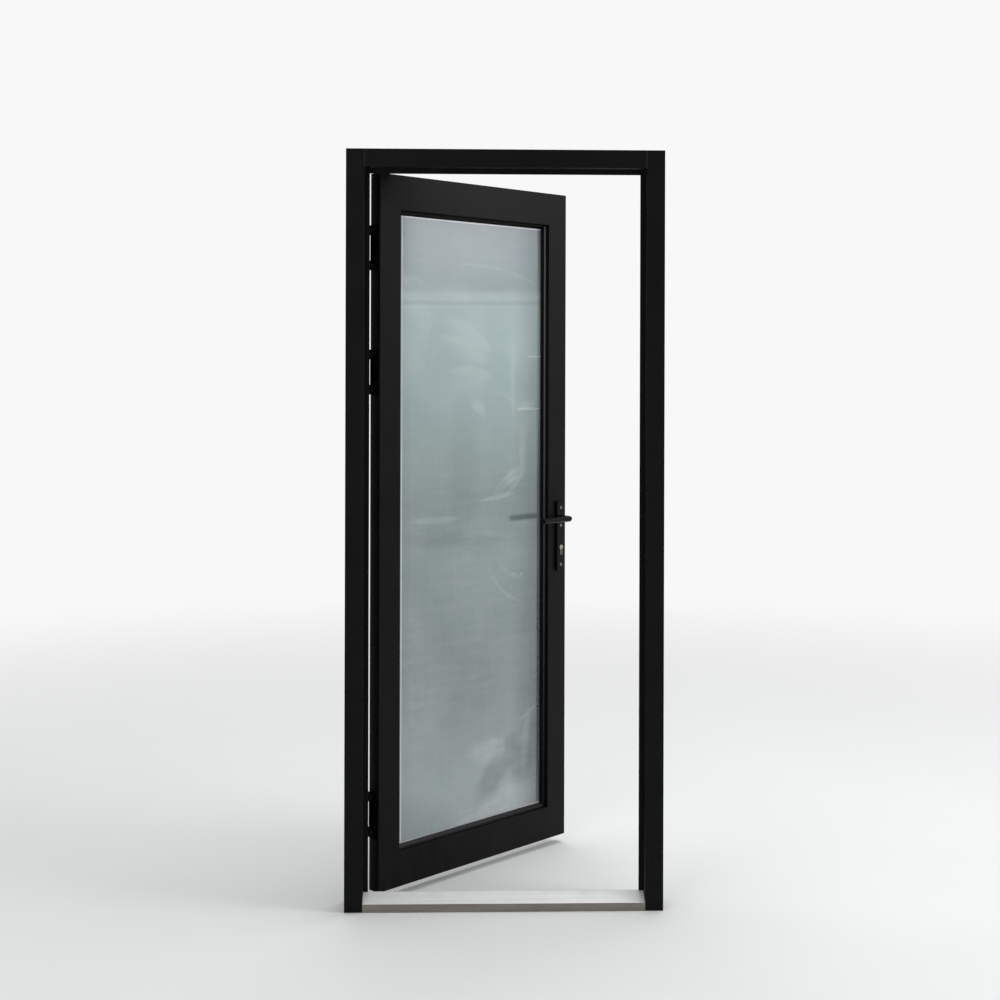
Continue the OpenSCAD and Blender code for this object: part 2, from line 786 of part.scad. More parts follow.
module faceplate_screws() {
    color(steel) in_leaf() at_lock() for (z = faceplate_screw_zs)
        translate([-faceplate_t, 0, z]) rotate([0, 0, -90]) countersunk_screw(4.2, 14);
}

module latch_bolt() {
    tip = -faceplate_t - latch_throw;
    head_back = 3.3;
    lug_x = backset - arm_lug_x;
    bar_z = lever_z + arm_r + 0.7;
    color(steel) in_leaf() at_lock() difference() {
        union() {
            span([tip, -bolt_y, latch_low], [head_back, bolt_y, latch_low + latch_h]);
            span([case_wall + slide_gap, -bolt_y, latch_low], [head_back, bolt_y, bar_z + 4]);
            span([case_wall + slide_gap, -2.5, bar_z], [lug_x + 4, 2.5, bar_z + 4]);
            span([lug_x, -2.5, lever_z + arm_lug_z], [lug_x + 4, 2.5, bar_z + 4]);
        }
        // the sloping face that rides over the strike plate
        translate([tip, -bolt_y, latch_low - cut]) rotate([0, 0, -35])
            translate([-20, 0, 0]) mirror([0, 1, 0]) cube([40, 30, latch_h + 2 * cut]);
    }
}

module dead_bolt() {
    bolt_l = backset + 4;
    color(steel) in_leaf() at_lock() difference() {
        span([-faceplate_t, -bolt_y, bolt_low], [bolt_l - faceplate_t, bolt_y, bolt_low + bolt_h]);
        // notch for the cam
        span([bolt_l - faceplate_t - 12, -cam_t / 2 - 0.6, bolt_low - cut],
             [bolt_l - faceplate_t - 5, cam_t / 2 + 0.6, bolt_low + 6]);
    }
}

module follower() {
    y = case_in_y - 0.3;
    color(steel) in_leaf() at_lock() difference() {
        union() {
            bar_y(backset, lever_z, hub_r, -y, y);
            bar_y(backset, lever_z, hub_boss_r, -case_t / 2, case_t / 2);
            translate([backset, 0, lever_z]) rotate([0, -arm_angle, 0])
                span([-2, -2, 0], [2, 2, arm_r]);
        }
        square_hole(-case_t, case_t);
    }
}

// The square hole for the spindle
module square_hole(y0, y1) {
    h = spindle_w / 2 + 0.05;
    span([backset - h, y0, lever_z - h], [backset + h, y1, lever_z + h]);
}

// A torsion spring beside the follower's arm, with its leg against the case
module follower_spring() {
    w = 1.4;
    y0 = -case_in_y + 0.3;
    r = hub_r + 0.85;
    color(steel) in_leaf() at_lock() {
        difference() {
            bar_y(backset, lever_z, r + w, y0, y0 + w);
            bar_y(backset, lever_z, r, y0 - cut, y0 + w + cut);
        }
        span([backset, y0, lever_z - r - w], [case_d - case_wall, y0 + w, lever_z - r]);
    }
}

module spindle() {
    h = spindle_w / 2;
    l = spindle_half;
    color(steel) in_leaf() at_lock() span([backset - h, -l, lever_z - h], [backset + h, l, lever_z + h]);
}

module cylinder_body() {
    color(brass) in_leaf() at_lock() difference() {
        translate([0, -cylinder_half, 0]) cylinder_profile(0, 2 * cylinder_half);
        bar_y(backset, cylinder_z, plug_r + run_gap, -cylinder_half - cut, cylinder_half + cut);
        bar_y(backset, cylinder_z, cam_r + 0.8, -cam_t / 2 - 0.2, cam_t / 2 + 0.2);
        bar_x(0, cylinder_z - cylinder_screw_drop, 2.1 + seat_gap, backset - 10, backset + 10);
    }
}

// One plug, from the cam out to the cylinder's end, with its keyway
module cylinder_plug() {
    difference() {
        bar_y(backset, cylinder_z, plug_r, cam_t / 2, cylinder_half);
        span([backset - 1, 9, cylinder_z - plug_r - cut], [backset + 1, cylinder_half + cut, cylinder_z + 4]);
    }
}

module cylinder_plug_near() {
    color(silver) in_leaf() at_lock() mirror([0, 1, 0]) cylinder_plug();
}

module cylinder_plug_far() {
    color(silver) in_leaf() at_lock() cylinder_plug();
}

module cylinder_cam() {
    color(steel) in_leaf() at_lock() {
        bar_y(backset, cylinder_z, 8, -cam_t / 2, cam_t / 2);
        intersection() {
            bar_y(backset, cylinder_z, cam_r, -cam_t / 2, cam_t / 2);
            span([backset - 4, -cam_t / 2, cylinder_z - cam_r - cut], [backset + 4, cam_t / 2, cylinder_z]);
        }
    }
}

module cylinder_screw() {
    color(steel) in_leaf() at_lock() translate([-faceplate_t, 0, cylinder_z - cylinder_screw_drop])
        rotate([0, 0, -90]) countersunk_screw(4.2, faceplate_t + backset + 4.5);
}

// ---------- handle ----------

// A back plate on the +Y side, from the leaf's face outwards
module backplate(y0) {
    r = 3;
    w = plate_w / 2;
    h = plate_h / 2;
    translate([backset, y0, plate_mid_z]) rotate([90, 0, 0]) mirror([0, 0, 1])
        linear_extrude(height = plate_t) {
            square([plate_w - 2 * r, plate_h], center = true);
            square([plate_w, plate_h - 2 * r], center = true);
            for (x = [r - w, w - r]) for (z = [r - h, h - r]) translate([x, z]) circle(r = r);
        }
}

module backplate_cuts(y0) {
    bar_y(backset, lever_z, neck_r + run_gap, y0 + 2, y0 + plate_t + cut);
    bar_y(backset, lever_z, spindle_w, y0 - cut, y0 + 2 + cut);
    translate([0, y0 - cut, 0]) cylinder_profile(0.2, plate_t + 2 * cut);
}

// The near plate takes the screw heads
module backplate_near() {
    y0 = leaf_t / 2;
    color(black) in_leaf() at_lock() mirror([0, 1, 0]) difference() {
        backplate(y0);
        backplate_cuts(y0);
        for (z = handle_screw_zs) translate([backset, y0 + plate_t, z]) rotate([0, 0, 180])
            countersunk_hole(handle_screw_d, plate_t + cut);
    }
}

// The far plate has posts that the screws enter
module backplate_far() {
    y0 = leaf_t / 2;
    post_l = 6;
    color(black) in_leaf() at_lock() difference() {
        union() {
            backplate(y0);
            for (z = handle_screw_zs) bar_y(backset, z, handle_screw_d / 2 + 1.5, y0 - post_l, y0 + 1);
        }
        backplate_cuts(y0);
        for (z = handle_screw_zs) bar_y(backset, z, handle_screw_d / 2 + seat_gap, y0 - post_l - cut, y0 + 5);
    }
}

module handle_screws() {
    color(steel) in_leaf() at_lock() for (z = handle_screw_zs)
        translate([backset, -leaf_t / 2 - plate_t, z]) countersunk_screw(handle_screw_d, leaf_t + plate_t + 4);
}

// A lever on the +Y side: neck, round corner and bar towards the hinges
module lever() {
    y0 = leaf_t / 2 + 2 + seat_gap;
    bar_y_mid = leaf_t / 2 + lever_reach;
    r = lever_h / 2;
    difference() {
        union() {
            bar_y(backset, lever_z, neck_r, y0, bar_y_mid);
            translate([backset, bar_y_mid, lever_z]) sphere(r = r);
            bar_x(bar_y_mid, lever_z, r, backset, backset + lever_l - 3);
            bar_x(bar_y_mid, lever_z, r - 1.5, backset + lever_l - 4, backset + lever_l);
        }
        square_hole(y0 - cut, spindle_half + 0.5);
    }
}

module lever_near() {
    color(black) in_leaf() at_lock() mirror([0, 1, 0]) lever();
}

module lever_far() {
    color(black) in_leaf() at_lock() lever();
}

jamb_hinge_side();
jamb_lock_side();
head();
threshold();
seal_hinge_jamb();
seal_lock_jamb();
seal_head();
seal_threshold();
frame_screws();
strike_plate();
strike_screws();
hinge_frame_plate(0);  // hinge_frame_plate_low
hinge_frame_plate(1);  // hinge_frame_plate_mid
hinge_frame_plate(2);  // hinge_frame_plate_top
hinge_leaf_plate(0);  // hinge_leaf_plate_low
hinge_leaf_plate(1);  // hinge_leaf_plate_mid
hinge_leaf_plate(2);  // hinge_leaf_plate_top
hinge_pin(0);  // hinge_pin_low
hinge_pin(1);  // hinge_pin_mid
hinge_pin(2);  // hinge_pin_top
hinge_washers();
hinge_frame_screws();
hinge_leaf_screws();
stile_hinge_side();
stile_lock_side();
rail_top();
rail_bottom();
corner_cleats();
cleat_screws();
glass_pane();
setting_blocks();
gasket_near();
gasket_far();
bead_top();
bead_bottom();
bead_hinge_side();
bead_lock_side();
lock_case();
lock_cover();
lock_faceplate();
faceplate_screws();
latch_bolt();
dead_bolt();
follower();
follower_spring();
spindle();
cylinder_body();
cylinder_plug_near();
cylinder_plug_far();
cylinder_cam();
cylinder_screw();
backplate_near();
backplate_far();
handle_screws();
lever_near();
lever_far();
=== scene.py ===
"""Looks for a glazed metal door that stands open in its own frame.

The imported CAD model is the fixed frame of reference.  Each visible CAD piece is copied, its
hard edges are eased as the real extrusions and castings have them, and it is dressed in a
procedural finish.  The levers are swept anew.  Screws, seals and the small hidden pieces keep
their CAD mesh and get a finish of their own.
"""
import json
import logging
import math
from collections.abc import Iterable, Sequence
from dataclasses import dataclass, field, replace
from enum import Enum

import bmesh
import bpy
from mathutils import Matrix, Vector


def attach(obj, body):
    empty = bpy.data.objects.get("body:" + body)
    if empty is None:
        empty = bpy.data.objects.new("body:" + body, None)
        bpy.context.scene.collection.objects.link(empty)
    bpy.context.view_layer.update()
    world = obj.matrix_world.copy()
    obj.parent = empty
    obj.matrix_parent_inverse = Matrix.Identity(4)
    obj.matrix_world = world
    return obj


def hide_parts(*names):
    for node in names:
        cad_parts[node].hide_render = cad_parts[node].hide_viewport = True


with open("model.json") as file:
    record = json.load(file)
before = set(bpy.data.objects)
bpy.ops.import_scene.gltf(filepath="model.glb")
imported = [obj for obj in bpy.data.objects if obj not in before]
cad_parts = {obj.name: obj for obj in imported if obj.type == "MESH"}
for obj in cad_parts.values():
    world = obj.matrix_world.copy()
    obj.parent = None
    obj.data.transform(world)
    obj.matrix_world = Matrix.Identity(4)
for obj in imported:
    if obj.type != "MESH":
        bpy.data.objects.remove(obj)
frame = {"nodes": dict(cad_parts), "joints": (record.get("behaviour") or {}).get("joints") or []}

LOG = logging.getLogger("glazed_door")
MM = 0.001
LONG_EDGE = 8 * MM  # edges of an extrusion that are shorter than this stay sharp
HARD_ANGLE = math.radians(38)
PANE_DEPTH = 0.03  # y of the marks on the glass, with the leaf shut


class Body(Enum):
    """The rigid bodies of the door set."""

    FRAME = "frame"
    LEAF = "leaf"
    LEVER = "lever"
    LATCH = "latch"
    BOLT = "bolt"
    KEY = "key"


class Side(Enum):
    """The two faces of the leaf, as the sign of +Y when it is shut."""

    NEAR = -1
    FAR = 1


# ---------------------------------------------------------------------------
# The leaf's turn
# ---------------------------------------------------------------------------


@dataclass(frozen=True)
class Swing:
    """The leaf's turn about its hinge pin, from shut to the way it stands at rest."""

    pin: Vector
    angle: float

    @classmethod
    def from_joints(cls, joints: Sequence[dict], name: str) -> "Swing":
        """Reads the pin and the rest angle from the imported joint.

        Args:
            joints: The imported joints.
            name: The leaf's joint.

        Returns:
            The swing, whose shut position is the joint's lower limit.
        """
        joint = next(j for j in joints if j["name"] == name)
        return cls(Vector(joint["pos_m"]), -math.radians(joint["range_deg"][0]))

    @property
    def opened(self) -> Matrix:
        """The matrix that carries a point of the shut leaf to where it stands."""
        return (
            Matrix.Translation(self.pin)
            @ Matrix.Rotation(self.angle, 4, "Z")
            @ Matrix.Translation(-self.pin)
        )

    @property
    def shut(self) -> Matrix:
        """The matrix that carries a point of the standing leaf back to shut."""
        return self.opened.inverted()


SWING = Swing.from_joints(frame["joints"], "leaf_swing")


def shut_box(node: str) -> tuple[Vector, Vector]:
    """Gives a leaf node's lowest and highest corners with the leaf shut.

    Args:
        node: A CAD node that rides on the leaf.

    Returns:
        The lowest and the highest corner, in metres.
    """
    points = [SWING.shut @ v.co for v in frame["nodes"][node].data.vertices]
    low = Vector(min(p[i] for p in points) for i in range(3))
    high = Vector(max(p[i] for p in points) for i in range(3))
    return low, high


# ---------------------------------------------------------------------------
# Shader toolkit
# ---------------------------------------------------------------------------


class Shade:
    """A node's output, on which sums are written as Python expressions."""

    def __init__(self, graph: "Graph", socket: bpy.types.NodeSocket) -> None:
        """Wraps a socket of the graph."""
        self.graph = graph
        self.socket = socket

    def _sum(self, operation: str, first: "Shade | float", second: "Shade | float") -> "Shade":
        """Adds a Math node and returns its value."""
        return self.graph.node(
            "ShaderNodeMath", {"operation": operation}, {0: first, 1: second}
        )

    def __add__(self, other: "Shade | float") -> "Shade":
        """Returns self + other."""
        return self._sum("ADD", self, other)

    __radd__ = __add__

    def __sub__(self, other: "Shade | float") -> "Shade":
        """Returns self - other."""
        return self._sum("SUBTRACT", self, other)

    def __rsub__(self, other: float) -> "Shade":
        """Returns other - self."""
        return self._sum("SUBTRACT", other, self)

    def __mul__(self, other: "Shade | float") -> "Shade":
        """Returns self * other."""
        return self._sum("MULTIPLY", self, other)

    __rmul__ = __mul__

    def most(self, other: "Shade | float") -> "Shade":
        """Returns the larger of the two."""
        return self._sum("MAXIMUM", self, other)

    def least(self, other: "Shade | float") -> "Shade":
        """Returns the smaller of the two."""
        return self._sum("MINIMUM", self, other)

    def rise(self, low: float, high: float) -> "Shade":
        """Returns a smooth step from 0 at low to 1 at high.

        Args:
            low: The value at which the step starts.
            high: The value at which it ends; below low, the step falls.

        Returns:
            The step, between 0 and 1.
        """
        start, end = (0.0, 1.0) if low < high else (1.0, 0.0)
        return self.graph.node(
            "ShaderNodeMapRange",
            {"interpolation_type": "SMOOTHSTEP"},
            {"Value": self, "From Min": min(low, high), "From Max": max(low, high),
             "To Min": start, "To Max": end},
        )


class Graph:
    """A material's nodes."""

    def __init__(self, name: str) -> None:
        """Starts an empty material of that name."""
        self.material = bpy.data.materials.new(name)
        self.material.use_nodes = True
        self.tree = self.material.node_tree
        self.tree.nodes.clear()

    def node(
        self,
        kind: str,
        settings: dict | None = None,
        inputs: dict | None = None,
        output: int | str = 0,
    ) -> Shade:
        """Adds a node.

        Args:
            kind: The node's type.
            settings: Its own settings; "stops" sets a ramp's (place, colour) pairs.
            inputs: Values or links for its sockets, by name or number.
            output: The output to return.

        Returns:
            The chosen output.
        """
        made = self.tree.nodes.new(kind)
        for name, value in (settings or {}).items():
            if name == "stops":
                self._set_stops(made.color_ramp, value)
            else:
                setattr(made, name, value)
        for name, value in (inputs or {}).items():
            if isinstance(value, Shade):
                self.tree.links.new(value.socket, made.inputs[name])
            else:
                made.inputs[name].default_value = value
        return Shade(self, made.outputs[output])

    @staticmethod
    def _set_stops(ramp: bpy.types.ColorRamp, stops: Sequence[tuple]) -> None:
        """Sets a ramp's stops to (place, colour) pairs."""
        while len(ramp.elements) < len(stops):
            ramp.elements.new(1.0)
        for element, (place, colour) in zip(ramp.elements, stops):
            element.position = place
            element.color = (*colour, 1.0)

    def place(self) -> Shade:
        """Returns Object coordinates, which are the row frame in metres."""
        return self.node("ShaderNodeTexCoord", output="Object")

    def shut_place(self) -> Shade:
        """Returns Object coordinates turned back to those of the shut leaf."""
        turn = SWING.shut
        return self.node(
            "ShaderNodeMapping",
            {"vector_type": "POINT"},
            {"Vector": self.place(), "Location": turn.to_translation(),
             "Rotation": turn.to_euler()},
        )

    def axes(self, vector: Shade) -> tuple[Shade, Shade, Shade]:
        """Returns a vector's three numbers."""
        split = self.tree.nodes.new("ShaderNodeSeparateXYZ")
        self.tree.links.new(vector.socket, split.inputs[0])
        return tuple(Shade(self, split.outputs[i]) for i in range(3))

    def stretch(self, vector: Shade, scale: Sequence[float]) -> Shade:
        """Returns a vector with each number scaled by its own factor."""
        return self.node(
            "ShaderNodeVectorMath", {"operation": "MULTIPLY"}, {0: vector, 1: scale}
        )

    def reach(self, vector: Shade, centre: Sequence[float], scale: Sequence[float]) -> Shade:
        """Returns how far a vector is from a centre, with each axis scaled."""
        away = self.node("ShaderNodeVectorMath", {"operation": "SUBTRACT"}, {0: vector, 1: centre})
        return self.node(
            "ShaderNodeVectorMath", {"operation": "LENGTH"},
            {0: self.stretch(away, scale)}, output="Value",
        )

    def noise(self, vector: Shade, scale: float, detail: float = 3.0, rough: float = 0.5) -> Shade:
        """Returns smooth noise, mostly between 0.3 and 0.7."""
        return self.node(
            "ShaderNodeTexNoise",
            {"noise_dimensions": "3D"},
            {"Vector": vector, "Scale": scale, "Detail": detail, "Roughness": rough},
        )

    def blend(self, share: "Shade | float", first, second) -> Shade:
        """Returns a colour that goes from first to second as share goes from 0 to 1."""
        return self.node(
            "ShaderNodeMix",
            {"data_type": "RGBA"},
            {0: share, 6: self._colour(first), 7: self._colour(second)},
            output=2,
        )

    @staticmethod
    def _colour(value):
        """Gives a plain colour its alpha, and passes a link through."""
        return value if isinstance(value, Shade) else (*value, 1.0)

    def bump(self, height: Shade, strength: float, distance: float) -> Shade:
        """Returns a normal bent by a height."""
        return self.node(
            "ShaderNodeBump", None,
            {"Height": height, "Strength": strength, "Distance": distance},
        )

    def principled(self, **sockets) -> Shade:
        """Adds a Principled shader.

        Args:
            **sockets: The shader's sockets, with underscores for spaces.

        Returns:
            The shader.
        """
        names = {key.replace("_", " "): value for key, value in sockets.items()}
        return self.node("ShaderNodeBsdfPrincipled", None, names)

    def finish(self, shader: Shade) -> bpy.types.Material:
        """Links a shader to the material's output and returns the material."""
        end = self.tree.nodes.new("ShaderNodeOutputMaterial")
        self.tree.links.new(shader.socket, end.inputs["Surface"])
        return self.material

    def surface(self, **sockets) -> bpy.types.Material:
        """Ends the material in a Principled shader with these sockets."""
        return self.finish(self.principled(**sockets))


# ---------------------------------------------------------------------------
# Finishes
# ---------------------------------------------------------------------------


@dataclass(frozen=True)
class Finish:
    """A surface finish, made into a material once and shared."""

    name: str

    def material(self) -> bpy.types.Material:
        """Returns the finish's material, made when it is first asked for."""
        name = f"finish_{self.name}"
        made = bpy.data.materials.get(name)
        return made if made else self._make(Graph(name))

    def _make(self, graph: Graph) -> bpy.types.Material:
        """Builds the material."""
        raise NotImplementedError


@dataclass(frozen=True)
class PowderCoat(Finish):
    """Satin powder coat: a fine orange peel, faint mottling, dust low down, and an optional
    painted highlight on one face.
    """

    colour: tuple[float, float, float] = (0.012, 0.013, 0.013)
    roughness: float = 0.46
    gloss: float = 0.32
    peel: float = 0.10
    dust: float = 0.35
    on_leaf: bool = False
    # painted highlight on the front face: its strength, and the depth at which that face stands
    front_highlight: float = 0.0
    highlight_until: float = 0.0
    seam: float = 0.0

    def _make(self, graph: Graph) -> bpy.types.Material:
        """Builds the coat, its dust, its worn marks and its painted highlight."""
        where = graph.shut_place() if self.on_leaf else graph.place()
        across, depth, height = graph.axes(where)
        mottle = graph.noise(where, 7.0, 4.0, 0.6)
        grime = graph.noise(graph.stretch(where, (1.0, 1.0, 0.35)), 26.0, 5.0, 0.65)
        low_down = height.rise(0.45, 0.0)
        dust = (grime.rise(0.42, 0.72) * (0.25 + 0.75 * low_down)) * self.dust
        rub = graph.noise(graph.stretch(where, (90.0, 90.0, 6.0)), 1.0, 3.0, 0.55)
        marks = rub.rise(0.66, 0.80) * graph.noise(where, 3.0).rise(0.50, 0.70)
        deep = tuple(c * 0.82 for c in self.colour)
        pale = tuple(c * 1.25 for c in self.colour)
        coat = graph.blend(mottle.rise(0.3, 0.7), deep, pale)
        coat = graph.blend(dust * 0.030, coat, (0.34, 0.32, 0.28))
        coat = graph.blend(marks * 0.020, coat, (0.25, 0.25, 0.25))
        if self.seam:
            joint = across.most(across * -1.0).rise(self.seam - 2.0 * MM, self.seam - 1.2 * MM)
            coat = graph.blend(joint * 0.05, coat, (0.50, 0.52, 0.50))
        # painted highlight: the front face is paler, more so higher up, where light catches it
        if self.front_highlight:
            face = depth.rise(self.highlight_until + 0.8 * MM, self.highlight_until)
            coat = graph.blend(
                face * height.rise(-0.4, 2.2) * self.front_highlight, coat, (0.20, 0.20, 0.20)
            )
        peel = graph.noise(where, 620.0, 2.0, 0.5)
        return graph.surface(
            Base_Color=coat,
            Roughness=self.roughness + (mottle - 0.5) * 0.14 + dust * 0.22 - marks * 0.10,
            Specular_IOR_Level=self.gloss,
            Normal=graph.bump(peel, self.peel, 0.0004),
        )


@dataclass(frozen=True)
class MillMetal(Finish):
    """Bare extruded or rolled metal with drawing lines, dull patches and dirt."""

    colour: tuple[float, float, float] = (0.60, 0.59, 0.57)
    grain: tuple[float, float, float] = (3.0, 700.0, 700.0)
    roughness: float = 0.36
    dirt: float = 0.5
    stain: tuple[float, float, float] = (0.17, 0.14, 0.11)
    bare: float = 1.0

    def _make(self, graph: Graph) -> bpy.types.Material:
        """Builds the metal, its drawing lines and its dirt."""
        where = graph.place()
        lines = graph.noise(graph.stretch(where, self.grain), 1.0, 3.0, 0.6)
        patches = graph.noise(where, 14.0, 5.0, 0.62)
        specks = graph.noise(where, 240.0, 2.0, 0.5).rise(0.64, 0.74)
        dirt = (patches.rise(0.46, 0.76) * 0.7 + specks * 0.3) * self.dirt
        dark = tuple(c * 0.80 for c in self.colour)
        metal = graph.blend(lines.rise(0.30, 0.70), dark, self.colour)
        return graph.surface(
            Base_Color=self._surface_colour(graph, where, graph.blend(dirt, metal, self.stain)),
            Metallic=self.bare - dirt * 0.75 * self.bare,
            Roughness=self.roughness + (lines - 0.5) * 0.20 + dirt * 0.30,
            Normal=graph.bump(lines, 0.12, 0.0003),
        )

    def _surface_colour(self, graph: Graph, where: Shade, metal: Shade) -> Shade:
        """Returns the metal's colour as it is."""
        return metal


@dataclass(frozen=True)
class DarkFrontSill(MillMetal):
    """Threshold metal whose front face is darker and brown, redder just under the lip."""

    front: float = 0.0
    lip: float = 0.0
    front_face_colour: tuple[float, float, float] = (0.150, 0.128, 0.100)
    under_lip_colour: tuple[float, float, float] = (0.175, 0.090, 0.075)

    def _surface_colour(self, graph: Graph, where: Shade, metal: Shade) -> Shade:
        """Returns the metal's colour, darker and brown on its front face."""
        _, depth, height = graph.axes(where)
        face = depth.rise(self.front + 0.9 * MM, self.front + 0.2 * MM)
        under_lip = height.rise(self.lip - 3.4 * MM, self.lip - 2.2 * MM)
        patchy = graph.noise(graph.stretch(where, (9.0, 9.0, 60.0)), 1.0, 4.0, 0.6)
        front_colour = graph.blend(under_lip, self.front_face_colour, self.under_lip_colour)
        return graph.blend(face * (0.75 + 0.25 * patchy), metal, front_colour)


@dataclass(frozen=True)
class Rubber(Finish):
    """Matt black seal rubber with a bloom of dust."""

    colour: tuple[float, float, float] = (0.012, 0.012, 0.012)
    bloom: float = 0.06

    def _make(self, graph: Graph) -> bpy.types.Material:
        """Builds the rubber and its bloom."""
        where = graph.place()
        patches = graph.noise(where, 34.0, 4.0, 0.6)
        grain = graph.noise(where, 900.0, 2.0, 0.5)
        return graph.surface(
            Base_Color=graph.blend(
                patches.rise(0.40, 0.75) * self.bloom, self.colour, (0.42, 0.40, 0.37)
            ),
            Roughness=0.72 + (patches - 0.5) * 0.2,
            Specular_IOR_Level=0.3,
            Normal=graph.bump(grain, 0.15, 0.0002),
        )


@dataclass(frozen=True)
class Moulded(Finish):
    """Plain moulded plastic with a fine spark-eroded grain."""

    colour: tuple[float, float, float] = (0.03, 0.03, 0.03)

    def _make(self, graph: Graph) -> bpy.types.Material:
        """Builds the plastic."""
        where = graph.place()
        grain = graph.noise(where, 1400.0, 2.0, 0.5)
        cloud = graph.noise(where, 60.0)
        pale = tuple(c * 1.4 for c in self.colour)
        return graph.surface(
            Base_Color=graph.blend(cloud.rise(0.3, 0.7), self.colour, pale),
            Roughness=0.5 + (grain - 0.5) * 0.2,
            Normal=graph.bump(grain, 0.2, 0.0002),
        )


@dataclass(frozen=True)
class Stroke:
    """A soft mark on the glass between two places (x, z) of the shut leaf.

    A negative strength darkens the glass where the dust is thinner, and is also used for painted
    shade.
    """

    start: tuple[float, float]
    end: tuple[float, float]
    width: float
    strength: float = 0.2
    soft: float = 0.65

    def cover(self, graph: Graph, where: Shade) -> Shade:
        """Returns how strongly the stroke covers the glass.

        Args:
            graph: The material's nodes.
            where: Coordinates on the shut leaf.

        Returns:
            The stroke's cover, 0 away from it.
        """
        dx, dz = self.end[0] - self.start[0], self.end[1] - self.start[1]
        middle = ((self.start[0] + self.end[0]) / 2, PANE_DEPTH, (self.start[1] + self.end[1]) / 2)
        local = graph.node(
            "ShaderNodeMapping",
            {"vector_type": "TEXTURE"},
            {"Vector": where, "Location": middle, "Rotation": (0.0, -math.atan2(dz, dx), 0.0),
             "Scale": (math.hypot(dx, dz) * 0.6, 1.0, self.width)},
        )
        ball = graph.node("ShaderNodeTexGradient", {"gradient_type": "SPHERICAL"},
                          {"Vector": local}, output="Fac")
        return ball.rise(0.0, self.soft) * abs(self.strength)


@dataclass(frozen=True)
class Swipe:
    """A thin curved line where a cloth swung across the glass, on the shut leaf."""

    centre: tuple[float, float]
    radius: float
    width: float
    start: float
    end: float
    strength: float = 0.2

    def cover(self, graph: Graph, where: Shade) -> Shade:
        """Returns how strongly the line covers the glass.

        Args:
            graph: The material's nodes.
            where: Coordinates on the shut leaf.

        Returns:
            The line's cover, 0 away from it.
        """
        place = (self.centre[0], PANE_DEPTH, self.centre[1])
        away = graph.reach(where, place, (1.0, 0.0, 1.0)) - self.radius
        arc = away.rise(-self.width, 0.0) * away.rise(self.width, 0.0)
        x, _, _ = graph.axes(where)
        ends = x.rise(self.start, self.start + 0.05) * x.rise(self.end, self.end - 0.05)
        return arc * ends * self.strength


